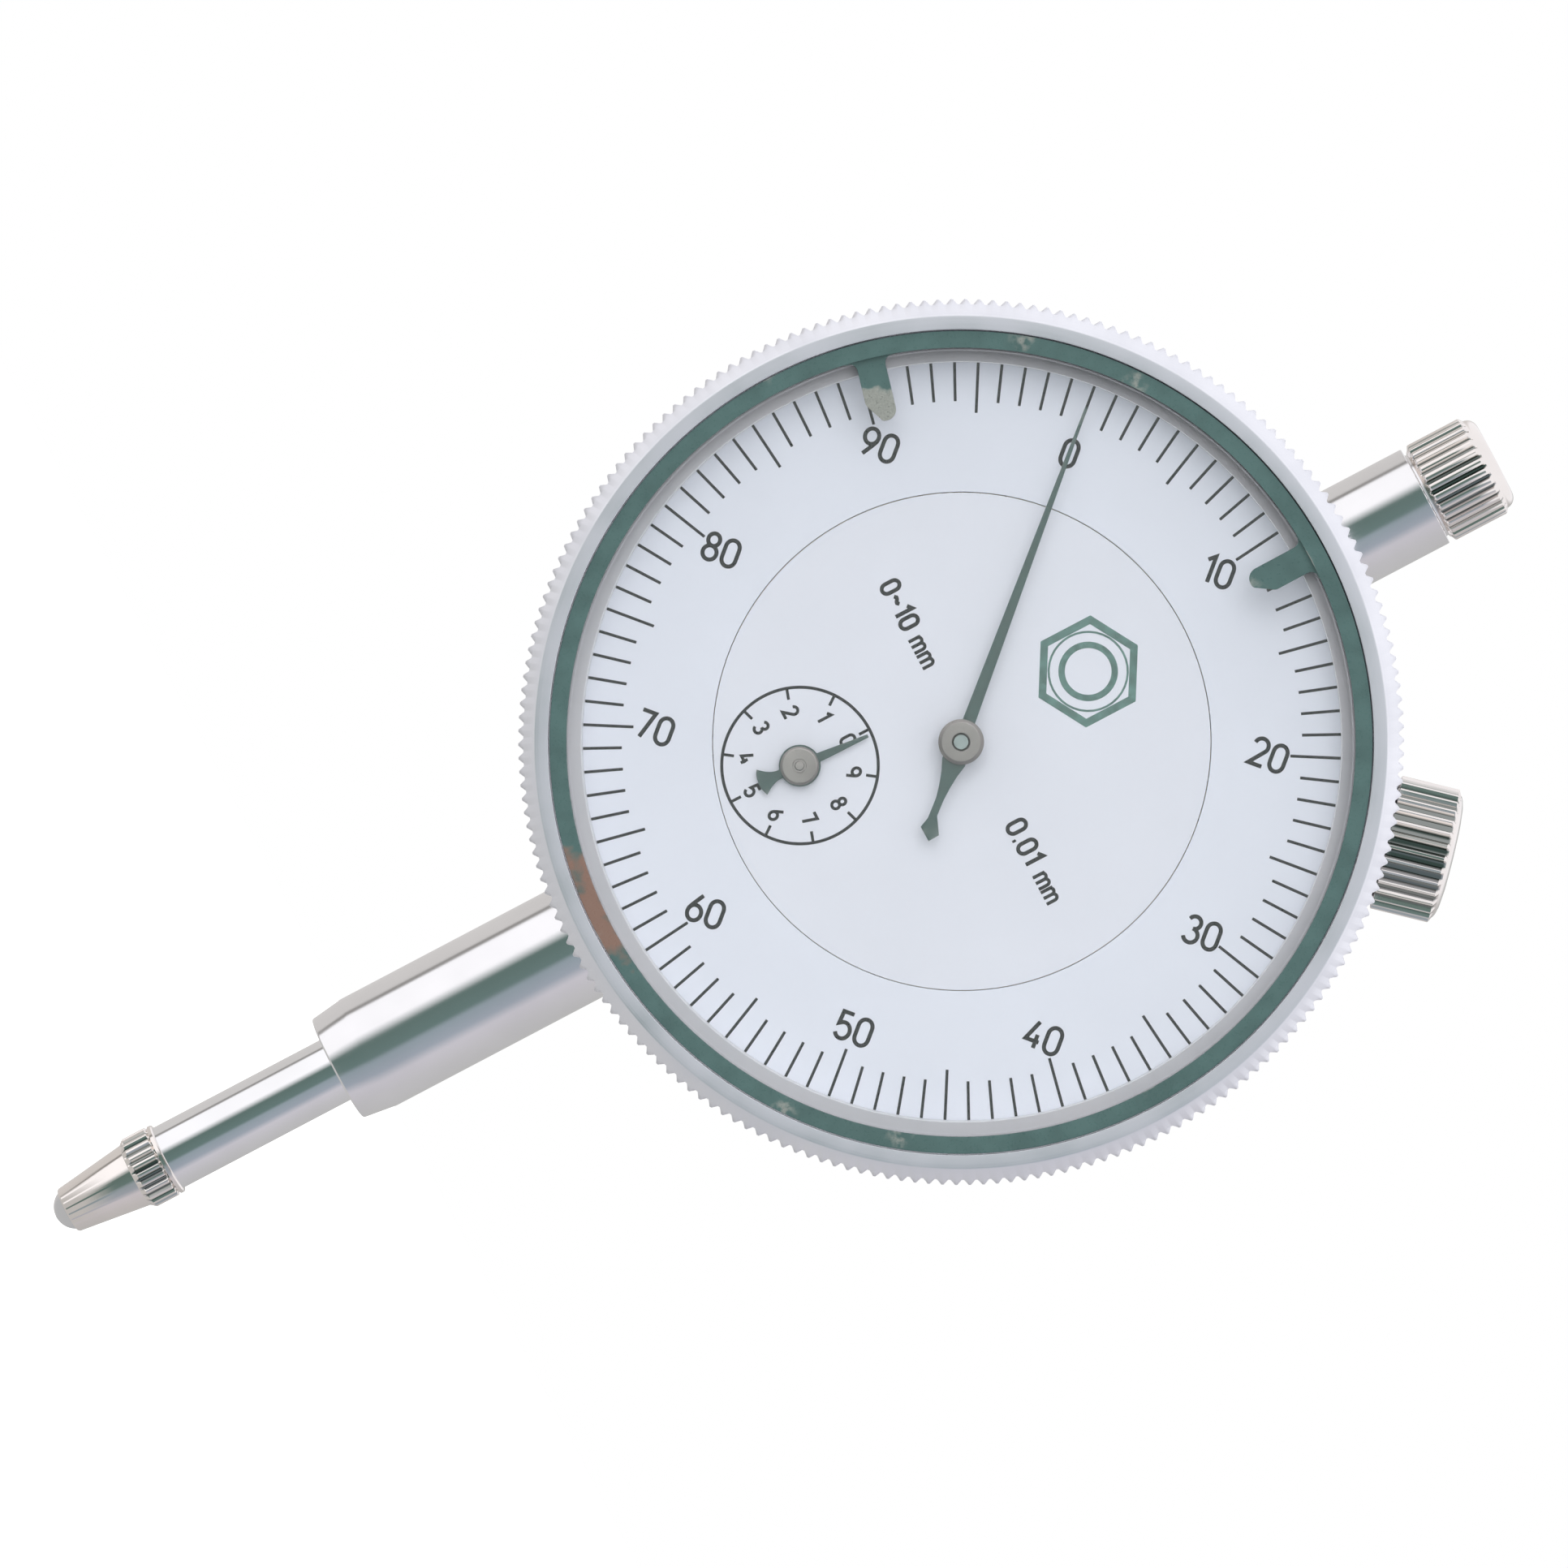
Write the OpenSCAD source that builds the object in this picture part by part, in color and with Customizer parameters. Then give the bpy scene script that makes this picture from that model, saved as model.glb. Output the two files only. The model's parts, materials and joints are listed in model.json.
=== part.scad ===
// Plunger dial indicator: turning bezel, clamping stem, lug back, 1 mm a turn.
// Millimetres. The origin is the middle of the stem's clamping cylinder.
// +Z runs up along the spindle, and the dial faces -Y.

/* [Stem and spindle] */
// Diameter of the clamping stem
stem_d = 8; // [7.8:0.1:8.4]
// Length of the stem's clamping cylinder
stem_len = 16; // [14:1:18]
// Diameter of the spindle
spindle_d = 4.5; // [4.46:0.02:4.54]
// Length of spindle that stands out below the stem
spindle_out = 12.8; // [12.5:0.1:16]
// Travel of the spindle
travel = 10.4; // [10:0.1:10.5]
// Radial clearance of a running fit
running = 0.03; // [0.02:0.01:0.05]

/* [Contact point] */
// Length of the contact point, ball included
contact_len = 8.5; // [7:0.1:9]
// Diameter of the contact ball
ball_d = 3; // [2.6:0.1:3.2]

/* [Case] */
// Diameter of the case
case_d = 53; // [53:0.1:53]
// Wall of the case
case_wall = 2; // [1.8:0.1:2]
// Diameter of the upper tube
tube_d = 7; // [6.9:0.1:7.2]
// Height of the upper tube's shoulder above the dial's centre
tube_top = 34.6; // [34:0.1:36]
// Diameter of the knurled dust cap
cap_d = 7; // [7:0.1:7.6]
// Length of the dust cap
cap_len = 5; // [5:0.1:6]

/* [Bezel and dial] */
// Diameter of the bezel over its teeth
bezel_d = 58; // [57.8:0.1:58.4]
// Number of teeth round the bezel
bezel_teeth = 202; // [120:1:240]
// Radius of the fixed inner disc of the dial
inner_dial_r = 16.35; // [16:0.05:16.4]
// Angle that the main pointer rests at, counter-clockwise from the top
pointer_rest = 41.7; // [0:0.1:60]
// Angle of the left limit marker, clockwise from the top
left_marker_angle = -75.6; // [-90:0.1:-60]
// Angle of the right limit marker, clockwise from the top
right_marker_angle = -0.4; // [-10:0.1:20]
// Angle of the bezel clamp, clockwise from the top
clamp_angle = 41.5; // [35:0.5:50]

/* [Movement] */
// Place of the rack pinion and small pointer, from the dial's centre
first_arbor = [-3.55, -10.14];
// Number of teeth on the rack pinion
rack_pinion_teeth = 16; // [16:1:16]
// Number of teeth on the first wheel and the take-up wheel
wheel_teeth = 100; // [100:1:100]
// Number of teeth on the centre pinion
centre_teeth = 10; // [10:1:10]

/* [Lug] */
// Diameter of the lug's hole
lug_bore = 6.5; // [6:0.1:7]
// Thickness of the lug
lug_t = 5; // [4:0.5:6]
// Distance of the lug's hole behind the spindle's axis
lug_y = 17.4; // [17:0.1:20]

/* [Hidden] */
$fn = 96;

// Overshoot of a cutting tool past a face
eps = 1;
// Clearance of a piece that is fixed in its hole
snug = 0.01;

// Radii and heights of the case. Heights h run from the spindle's plane towards the viewer.
case_r = case_d / 2;
case_in = case_r - case_wall;
neck_r = 5.5;
neck_in = 23;
neck_reach = 28;
dial_z = stem_len / 2 + neck_reach;
case_h = [-7, 8];
cover_h = [-8.4, -7];
boss_at = 22.4;
boss_r = 2.5;
boss_angles = [60, 120, 240, 300];
boss_thread_r = 0.82;
snap_groove_h = [6.15, 7.05];
gasket_groove_r = [case_r - 1.6, case_r - 0.6];
lug_flange_t = 1.5;
lug_screws_at = [[5.6, 3.4], [5.6, -3.4], [-5.6, 3.4], [-5.6, -3.4]];

// Layers of the movement and the dial
plate_h = [2.5, 3.6];
hairspring_h = [4.15, 4.55];
wheel_h = [4.9, 5.4];
leaf_h = [4.4, 6.1];
bridge_h = [6.6, 7.6];
dial_h = [9, 9.4];
small_blade_h = [9.85, 9.95];
blade_h = [10.85, 10.97];
crystal_h = [11.7, 12.9];
crystal_flange_h = 12.4;
crystal_skirt_r = 24.9;
crystal_r = 25.7;
flange_r = 26.9;
marker_h = [12.98, 13.2];
ring_h = [13.3, 13.7];
bezel_h = [5.8, 13.9];
bezel_seat_r = 27;
bezel_neck_r = 27.6;
bezel_neck_top = 7.1;

// Spindle, stem and tube, in heights above the origin
stem_r = stem_d / 2;
stem_cone = 3.2;
stem_end = -stem_len / 2 - stem_cone;
stem_shank_r = 3.4;
stem_shank_top = dial_z - neck_in;
bush_r = 3.1;
bush_len = 6;
spindle_r = spindle_d / 2;
spindle_low = stem_end - spindle_out;
spindle_top = dial_z + 28.6;
tube_r = tube_d / 2;
tube_low = dial_z + 22.5;
tube_bore = 2.6;
tube_neck_r = 3;
cap_low = dial_z + tube_top + 0.2;

// Rack and gears
pressure = 20;
rack_pitch = 0.625;
rack_module = rack_pitch / PI;
rack_pitch_x = first_arbor[0] + rack_module * rack_pinion_teeth / 2;
rack_face_x = rack_pitch_x - 0.8 * rack_module;
rack_root_x = rack_pitch_x + 1.3 * rack_module;
rack_gaps = [-20, 2];
centre_distance = norm(first_arbor);
wheel_module = 2 * centre_distance / (wheel_teeth + centre_teeth);
takeup_arbor_at = -first_arbor;
first_angle = atan2(first_arbor[1], first_arbor[0]);

// Arbors and their pivots
arbor_r = 0.5;
pivot_r = 0.35;
centre_end_r = 0.47;
bush_out = 1.1;

// Pillars, guide and springs, in the dial's x and up directions
pillar_at = [[10, -9], [13.2, 1], [-10, 9], [-13.2, -1]];
feet_at = [[7, -6.3], [-7, 6.3]];
guide_pin_up = 2;
guide_pin_r = 0.75;
fork_x = [5, 7.9];
fork_screws_at = [[6.45, -0.4], [6.45, 14.8]];
spring_x = 9.6;
spring_r = 1.15;
spring_wire = 0.15;
spring_low = -18.8;
spring_high = guide_pin_up - guide_pin_r - 0.2;
spring_turns = 22;
spring_post_at = [spring_x, spring_low - 0.7];
cock_screw_at = [-10.2, first_arbor[1]];
cock_h = [-2.9, -1.9];
fork_low_h = -2.3;
stud_reach = 5.75;
hairspring_stud_at = takeup_arbor_at + [stud_reach, 0];

// Bezel clamp
clamp_h = 0.4;
clamp_screw_r = 1.5;
clamp_hole_r = clamp_screw_r + 0.06;
knob_r = 4.5;
knob_reach = [28.7, 33.4];

function polar(r, a) = [r * cos(a), r * sin(a)];
function star(n, r, depth) = [
    for (i = [0 : 2 * n - 1]) polar(i % 2 == 0 ? r : r - depth, i * 180 / n)
];
// Degrees that an involute has turned by radius r
function involute(base, r) = sqrt(pow(r / base, 2) - 1) * 180 / PI - acos(base / r);
// Outline of a spur gear: m is the module, add and ded are in modules, thin is taken off each tooth
function gear(n, m, add, ded, thin, steps = 3) =
    let (
        pitch = m * n / 2,
        base = pitch * cos(pressure),
        tip = pitch + add * m,
        root = pitch - ded * m,
        start = max(base * 1.0001, root),
        half = 90 / n - thin / 2 / pitch * 180 / PI + involute(base, pitch),
        flank = [for (s = [0 : steps]) start + (tip - start) * s / steps],
        foot = root < base ? [root] : []
    )
    [for (k = [0 : n - 1])
        let (c = 360 * k / n, w0 = half - involute(base, start))
        each concat(
            [for (r = foot) polar(r, c - w0)],
            [for (r = flank) polar(r, c - half + involute(base, r))],
            [for (i = [steps : -1 : 0]) polar(flank[i], c + half - involute(base, flank[i]))],
            [for (r = foot) polar(r, c + w0)]
        )
    ];

// The dial's own frame: x to the right, y up, z towards the viewer
module in_dial() {
    translate([0, 0, dial_z]) rotate([90, 0, 0]) children();
}

// A flat shape between two heights
module layer(h) {
    translate([0, 0, h[0]]) linear_extrude(h[1] - h[0]) children();
}

// The bezel clamp's own frame, inside the dial's: z out along the clamp screw
module in_clamp() {
    rotate([0, 0, -clamp_angle]) translate([0, 0, clamp_h]) rotate([-90, 0, 0]) children();
}

module rod(r, h) {
    translate([0, 0, h[0]]) cylinder(r = r, h = h[1] - h[0]);
}

module hole(r, h) {
    rod(r, [h[0] - eps, h[1] + eps]);
}

// A flat ring between two radii
module ring(inner, outer, h) {
    difference() {
        rod(outer, h);
        hole(inner, h);
    }
}

module turned(profile) {
    rotate_extrude() polygon(profile);
}

// Repeats at an angle clockwise from the top, reach out from the centre
module around(angles, reach) {
    for (a = angles) rotate([0, 0, -a]) translate([0, reach, 0]) children();
}

module at_points(points) {
    for (p = points) translate([p[0], p[1], 0]) children();
}

// An arm between two flat points, with a round eye a little wider than the arm at each end
module arm(a, b, width) {
    d = b - a;
    translate(a) rotate(atan2(d[1], d[0])) translate([0, -width / 2]) square([norm(d), width]);
    translate(a) circle(d = width + 0.5);
    translate(b) circle(d = width + 0.5);
}

// A slotted pan-head screw that enters towards -z, its head seated at z = 0
module screw(r, length, head_r, head_h) {
    difference() {
        union() {
            rod(head_r, [0, head_h]);
            rod(r, [-length, 0.2]);
        }
        translate([-head_r - eps, -0.15, head_h * 0.5]) cube([2 * head_r + 2 * eps, 0.3, head_h]);
    }
}

// Ring of straight knurling between two heights, to be joined to the core inside it
module knurl(n, r, depth, h) {
    layer(h) difference() {
        polygon(star(n, r, depth));
        circle(r = r - 3 * depth);
    }
}

// ---- Case, stem and tube ----

module case_bosses() {
    around(boss_angles, boss_at) rod(boss_r, [case_h[0], plate_h[0]]);
    rotate([0, 0, -clamp_angle]) translate([-3, 21.9, -2.2]) cube([6, case_in - 21.5, 4.6]);
    rotate([90, 0, 0]) rod(neck_r, [neck_in, neck_reach]);
    rotate([-90, 0, 0]) rod(neck_r, [neck_in, neck_reach]);
}

module case() {
    color([0.72, 0.73, 0.74]) in_dial() difference() {
        union() {
            difference() {
                rod(case_r, case_h);
                hole(case_in, case_h);
            }
            case_bosses();
        }
        ring(case_r - 0.4, case_r + eps, snap_groove_h);
        ring(gasket_groove_r[0], gasket_groove_r[1], [case_h[0] - eps, case_h[0] + 0.5]);
        rotate([90, 0, 0]) rod(stem_shank_r + snug, [20, 30]);
        rotate([-90, 0, 0]) rod(tube_r + snug, [20, 30]);
        around(boss_angles, boss_at) {
            rod(boss_thread_r, [plate_h[0] - 4.2, plate_h[0] + eps]);
            rod(boss_thread_r, [case_h[0] - eps, case_h[0] + 3.7]);
        }
        in_clamp() rod(clamp_hole_r, [20, 30]);
    }
}

module stem() {
    bore = spindle_r + 0.35;
    color([0.78, 0.79, 0.8]) turned([
        [bush_r + snug, stem_end], [stem_r - 0.3, stem_end],
        [stem_r, stem_end + 2.3], [stem_r, stem_len / 2],
        [stem_shank_r, stem_len / 2], [stem_shank_r, stem_shank_top], [bore, stem_shank_top],
        [bore, -2], [bush_r + snug, -2]
    ]);
}

module stem_bush() {
    color([0.66, 0.6, 0.45]) difference() {
        rod(bush_r, [stem_end, -2]);
        hole(spindle_r + running, [stem_end, -2]);
    }
}

module top_tube() {
    shoulder = dial_z + tube_top;
    color([0.78, 0.79, 0.8]) turned([
        [bush_r + snug, tube_low], [tube_r, tube_low], [tube_r, shoulder],
        [tube_neck_r, shoulder], [tube_neck_r, shoulder + 2.9], [tube_bore, shoulder + 2.9],
        [tube_bore, tube_low + bush_len], [bush_r + snug, tube_low + bush_len]
    ]);
}

module top_bush() {
    color([0.66, 0.6, 0.45]) difference() {
        rod(bush_r, [tube_low, tube_low + bush_len]);
        hole(spindle_r + running, [tube_low, tube_low + bush_len]);
    }
}

module dust_cap() {
    r = cap_d / 2;
    top = cap_low + cap_len;
    dome = 0.75;
    crown = 0.65;
    core = r - 0.2;
    socket_r = tube_neck_r + 2 * snug;
    color([0.8, 0.79, 0.76]) union() {
        turned(concat(
            [[socket_r, cap_low], [core, cap_low]],
            [for (a = [0 : 15 : 90]) [core - dome + dome * cos(a), top - dome + dome * sin(a)]],
            [[0, top], [0, top - crown], [tube_bore, top - crown], [tube_bore, cap_low + 2.9],
             [socket_r, cap_low + 2.9]]
        ));
        knurl(29, r, 0.16, [cap_low + 0.15, top - dome - 0.15]);
    }
}

// ---- Movement: fixed pieces ----

module main_plate() {
    notch = [2 * neck_r + 0.6, 4];
    color([0.78, 0.66, 0.38]) in_dial() difference() {
        rod(case_in - 0.2, plate_h);
        around([0, 180], neck_in - 0.7) translate([-notch[0] / 2, 0, plate_h[0] - eps])
            cube([notch[0], notch[1], 4]);
        around(boss_angles, boss_at) hole(boss_thread_r, plate_h);
        at_points([[0, 0], first_arbor, takeup_arbor_at]) hole(bush_out + snug, plate_h);
        at_points(pillar_at) hole(0.9 + snug, plate_h);
        at_points([cock_screw_at]) hole(0.72, plate_h);
        at_points(fork_screws_at) hole(0.62, plate_h);
        at_points([spring_post_at]) hole(0.5 + snug, plate_h);
        at_points([hairspring_stud_at]) hole(0.4 + snug, plate_h);
    }
}

module plate_screws() {
    color([0.7, 0.71, 0.72]) in_dial() around(boss_angles, boss_at)
        translate([0, 0, plate_h[1]]) screw(0.8, 5, 1.6, 0.9);
}

module pillars() {
    color([0.78, 0.66, 0.38]) in_dial() at_points(pillar_at) difference() {
        union() {
            rod(1.6, [plate_h[1], bridge_h[0]]);
            rod(0.9, [plate_h[0] + 0.1, plate_h[1] + 0.1]);
        }
        rod(0.62, [bridge_h[0] - 2.4, bridge_h[0] + eps]);
    }
}

module front_bridge() {
    color([0.8, 0.68, 0.4]) in_dial() difference() {
        layer(bridge_h) union() {
            circle(r = 5);
            arm(first_arbor, takeup_arbor_at, 4.2);
            arm(pillar_at[0], pillar_at[2], 4);
            arm(pillar_at[1], pillar_at[3], 3.6);
        }
        at_points([[0, 0], first_arbor, takeup_arbor_at]) hole(bush_out + snug, bridge_h);
        at_points(pillar_at) hole(0.64, bridge_h);
        at_points(feet_at) hole(0.6 + snug, bridge_h);
    }
}

module bridge_screws() {
    color([0.7, 0.71, 0.72]) in_dial() at_points(pillar_at)
        translate([0, 0, bridge_h[1]]) screw(0.6, 3, 1.3, 0.7);
}

module pivot_bush(r, h) {
    difference() {
        rod(bush_out, h);
        hole(r + running, h);
    }
}

module pivot_bushes() {
    color([0.72, 0.2, 0.24]) in_dial() {
        pivot_bush(pivot_r, plate_h);
        pivot_bush(centre_end_r, bridge_h);
        at_points([first_arbor]) {
            pivot_bush(arbor_r, plate_h);
            pivot_bush(arbor_r, bridge_h);
            pivot_bush(pivot_r, cock_h);
        }
        at_points([takeup_arbor_at]) {
            pivot_bush(pivot_r, plate_h);
            pivot_bush(pivot_r, bridge_h);
        }
    }
}

module pinion_cock() {
    color([0.78, 0.66, 0.38]) in_dial() difference() {
        union() {
            layer(cock_h) arm(first_arbor, cock_screw_at, 3);
            translate([cock_screw_at[0] - 1.6, first_arbor[1] - 2.2, cock_h[0]])
                cube([3.2, 4.4, plate_h[0] - cock_h[0]]);
        }
        at_points([first_arbor]) hole(bush_out + snug, cock_h);
        at_points([cock_screw_at]) hole(0.74, [cock_h[0], plate_h[0]]);
    }
}

module cock_screw() {
    color([0.7, 0.71, 0.72]) in_dial() at_points([cock_screw_at])
        translate([0, 0, cock_h[0]]) rotate([180, 0, 0]) screw(0.7, 6.2, 1.3, 0.8);
}

module guide_fork() {
    low = -2;
    high = 16.4;
    slot = guide_pin_r + running;
    color([0.62, 0.63, 0.65]) in_dial() difference() {
        translate([fork_x[0], low, fork_low_h])
            cube([fork_x[1] - fork_x[0], high - low, plate_h[0] - fork_low_h]);
        translate([fork_x[0] - eps, guide_pin_up - guide_pin_r - 0.05, -slot])
            cube([fork_x[1] - fork_x[0] + 2 * eps, travel + 2 * guide_pin_r + 0.3, 2 * slot]);
        at_points(fork_screws_at) hole(0.62, [fork_low_h, plate_h[0]]);
    }
}

module guide_screws() {
    color([0.7, 0.71, 0.72]) in_dial() at_points(fork_screws_at)
        translate([0, 0, fork_low_h]) rotate([180, 0, 0]) screw(0.6, 5.6, 1.1, 0.7);
}

module spring_post() {
    color([0.7, 0.71, 0.72]) in_dial() at_points([spring_post_at]) union() {
        rod(0.6, [-1.4, plate_h[0]]);
        rod(0.5, [plate_h[0] - 0.1, plate_h[1]]);
        rod(0.9, [-1.8, -1.3]);
    }
}

// Extension spring: a round wire swept along a helix, its end turns drawn in
module return_spring() {
    sides = 6;
    per_turn = 14;
    rings = spring_turns * per_turn;
    function draw_in(i) = min(1, 0.35 + 0.65 * min(i, rings - i) / per_turn);
    function centre(i) =
        let (a = 360 * i / per_turn, r = spring_r * draw_in(i))
        [r * cos(a), r * sin(a), spring_low + (spring_high - spring_low) * i / rings];
    points = [for (i = [0 : rings], s = [0 : sides - 1])
        let (a = 360 * i / per_turn, b = 360 * s / sides)
        centre(i) + spring_wire * [cos(b) * cos(a), cos(b) * sin(a), sin(b)]
    ];
    ends = [[for (s = [0 : sides - 1]) s], [for (s = [sides - 1 : -1 : 0]) rings * sides + s]];
    skin = [for (i = [0 : rings - 1], s = [0 : sides - 1])
        let (t = (s + 1) % sides)
        [i * sides + s, (i + 1) * sides + s, (i + 1) * sides + t, i * sides + t]
    ];
    color([0.6, 0.61, 0.63]) translate([spring_x, 0, dial_z])
        polyhedron(points = points, faces = concat(ends, skin));
}

// Spiral of five turns, ending at the stud
module hairspring() {
    turns = 5;
    inner = 1.05;
    outer = stud_reach - 0.6;
    t = 0.06;
    steps = turns * 20;
    function reach(i) = inner + (outer - inner) * i / steps;
    function turn(i) = 360 * turns * i / steps;
    color([0.35, 0.4, 0.5]) in_dial() at_points([takeup_arbor_at]) layer(hairspring_h)
        polygon(concat(
            [for (i = [0 : steps]) polar(reach(i) + t, turn(i))],
            [for (i = [steps : -1 : 0]) polar(reach(i) - t, turn(i))]
        ));
}

module hairspring_stud() {
    color([0.7, 0.71, 0.72]) in_dial() at_points([hairspring_stud_at]) union() {
        rod(0.5, [plate_h[1], 4.7]);
        rod(0.4, [plate_h[0] + 0.1, plate_h[1] + 0.1]);
    }
}

module dial_plate() {
    color([0.86, 0.86, 0.88]) in_dial() difference() {
        rod(inner_dial_r, dial_h);
        hole(0.85, dial_h);
        at_points([first_arbor]) hole(0.85, dial_h);
    }
}

module dial_feet() {
    color([0.78, 0.66, 0.38]) in_dial() at_points(feet_at) rod(0.6, [bridge_h[0], dial_h[0]]);
}

// ---- Back ----

module back_cover() {
    color([0.72, 0.73, 0.74]) in_dial() difference() {
        turned([
            [0, cover_h[1]], [case_r - 0.1, cover_h[1]], [case_r - 0.1, cover_h[0] + 0.4],
            [case_r - 0.5, cover_h[0]], [0, cover_h[0]]
        ]);
        around(boss_angles, boss_at) hole(boss_thread_r, cover_h);
        at_points(lug_screws_at) hole(0.72, cover_h);
    }
}

module cover_gasket() {
    color([0.15, 0.15, 0.15]) in_dial()
        ring(gasket_groove_r[0] + 0.05, gasket_groove_r[1] - 0.05, [case_h[0], case_h[0] + 0.45]);
}

module cover_screws() {
    color([0.7, 0.71, 0.72]) in_dial() around(boss_angles, boss_at)
        translate([0, 0, cover_h[0]]) rotate([180, 0, 0]) screw(0.8, 4.8, 1.5, 0.8);
}

module lug() {
    flange_h = [cover_h[0] - lug_flange_t, cover_h[0]];
    ear_r = 6.5;
    color([0.72, 0.73, 0.74]) difference() {
        union() {
            in_dial() rod(8.5, flange_h);
            translate([-lug_t / 2, -flange_h[0] - 0.5, dial_z - ear_r])
                cube([lug_t, lug_y + flange_h[0] + 0.5, 2 * ear_r]);
            translate([-lug_t / 2, lug_y, dial_z]) rotate([0, 90, 0]) cylinder(r = ear_r, h = lug_t);
        }
        translate([-lug_t, lug_y, dial_z]) rotate([0, 90, 0]) cylinder(d = lug_bore, h = 2 * lug_t);
        in_dial() at_points(lug_screws_at) hole(0.76, flange_h);
    }
}

module lug_screws() {
    color([0.7, 0.71, 0.72]) in_dial() at_points(lug_screws_at)
        translate([0, 0, cover_h[0] - lug_flange_t]) rotate([180, 0, 0]) screw(0.7, 2.8, 1.2, 0.7);
}

// ---- Spindle ----

// One gap of the rack, as a cutter across the spindle
module rack_gap() {
    half = rack_pitch / 4 + 0.015;
    out = rack_pitch_x - rack_face_x + 0.3;
    in = rack_root_x - rack_pitch_x;
    t = tan(pressure);
    rotate([90, 0, 0]) linear_extrude(2 * spindle_d, center = true) polygon([
        [rack_pitch_x - out, -half - out * t], [rack_root_x, -half + in * t],
        [rack_root_x, half - in * t], [rack_pitch_x - out, half + out * t]
    ]);
}

module spindle() {
    first = first_arbor[1] + rack_gaps[0] * rack_pitch - rack_pitch / 2;
    last = first_arbor[1] + rack_gaps[1] * rack_pitch + rack_pitch / 2;
    color([0.74, 0.75, 0.77]) difference() {
        turned([
            [0, spindle_low], [spindle_r, spindle_low], [spindle_r, spindle_top - 0.3],
            [spindle_r - 0.3, spindle_top], [0, spindle_top]
        ]);
        translate([rack_face_x - 2, -spindle_d, dial_z + first])
            cube([2, 2 * spindle_d, last - first]);
        for (k = [rack_gaps[0] : rack_gaps[1]])
            translate([0, 0, dial_z + first_arbor[1] + k * rack_pitch]) rack_gap();
        rod(1.25 + snug, [spindle_low - eps, spindle_low + 5.5]);
        rod(1.05, [spindle_top - 5, spindle_top + eps]);
        translate([-1, 0, dial_z + guide_pin_up]) rotate([0, 90, 0]) rod(guide_pin_r + snug, [0, 5]);
    }
}

module contact_point() {
    collar = 2.3;
    tip = spindle_low - contact_len;
    seat = tip + 0.86;
    color([0.82, 0.8, 0.76]) difference() {
        union() {
            turned([
                [0, seat], [ball_d / 2, seat], [ball_d / 2 + 0.1, seat + 0.12],
                [2.25, spindle_low - collar], [2.38, spindle_low - collar],
                [2.38, spindle_low], [1.25, spindle_low], [1.25, spindle_low + 5], [0, spindle_low + 5]
            ]);
            knurl(24, 2.5, 0.12, [spindle_low - collar, spindle_low - 0.25]);
        }
        translate([0, 0, tip + ball_d / 2]) sphere(r = ball_d / 2 + snug);
    }
}

module contact_ball() {
    color([0.75, 0.76, 0.78]) translate([0, 0, spindle_low - contact_len + ball_d / 2])
        sphere(d = ball_d);
}

module guide_pin() {
    color([0.6, 0.61, 0.63]) translate([-1 + snug, 0, dial_z + guide_pin_up]) rotate([0, 90, 0])
        rod(guide_pin_r, [0, spring_x + 1.9]);
}

// ---- Gear train ----

// A spoked wheel with a tooth at angle "tooth"
module spoked_wheel(tooth) {
    rim = 8.6;
    hub = 2;
    layer(wheel_h) difference() {
        rotate(tooth) polygon(gear(wheel_teeth, wheel_module, 0.6, 1.25, 0.03));
        circle(r = arbor_r + snug);
        difference() {
            circle(r = rim);
            circle(r = hub);
            for (a = [0 : 72 : 359]) rotate(a) translate([0, -0.55]) square([rim + eps, 1.1]);
        }
    }
}

module rack_pinion() {
    color([0.7, 0.71, 0.72]) in_dial() at_points([first_arbor]) union() {
        layer([-1.6, 1.6]) polygon(gear(rack_pinion_teeth, rack_module, 1, 1.2, 0.03));
        rod(arbor_r, [-1.7, 10.4]);
        rod(pivot_r, [-2.85, -1.6]);
    }
}

module first_wheel() {
    color([0.82, 0.7, 0.42]) in_dial() at_points([first_arbor]) spoked_wheel(first_angle + 180);
}

// Blade of the small pointer, pointing up, its tail flared
module small_blade() {
    polygon([
        [0.12, 4.9], [-0.12, 4.9], [-0.3, 0.8], [-0.3, -1.35], [-0.55, -2.2], [-0.95, -2.8],
        [-0.4, -2.92], [0.4, -2.92], [0.95, -2.8], [0.55, -2.2], [0.3, -1.35], [0.3, 0.8]
    ]);
    circle(r = 1);
}

module small_pointer() {
    color([0.35, 0.45, 0.45]) in_dial() at_points([first_arbor])
        rotate([0, 0, -pointer_rest / 10]) difference() {
            layer(small_blade_h) small_blade();
            hole(0.7 + snug, small_blade_h);
        }
}

module pointer_hub(bore, neck, flange, disc, low, blade, top) {
    edge = 0.06;
    turned([
        [bore, low], [flange, low], [flange, blade[0]], [neck, blade[0]], [neck, blade[1]],
        [disc, blade[1]], [disc, top - edge], [disc - edge, top], [bore, top]
    ]);
}

module small_pointer_hub() {
    color([0.7, 0.69, 0.67]) in_dial() at_points([first_arbor])
        pointer_hub(arbor_r + snug, 0.7, 1, 1.3, 9.55, small_blade_h, 10.3);
}

module centre_pinion() {
    color([0.7, 0.71, 0.72]) in_dial() union() {
        layer(leaf_h) rotate(first_angle + 180 / centre_teeth)
            polygon(gear(centre_teeth, wheel_module, 1, 0.85, 0.03));
        rod(centre_end_r, [3.7, 11.5]);
        rod(pivot_r, [plate_h[0] + 0.1, 3.8]);
    }
}

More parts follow.
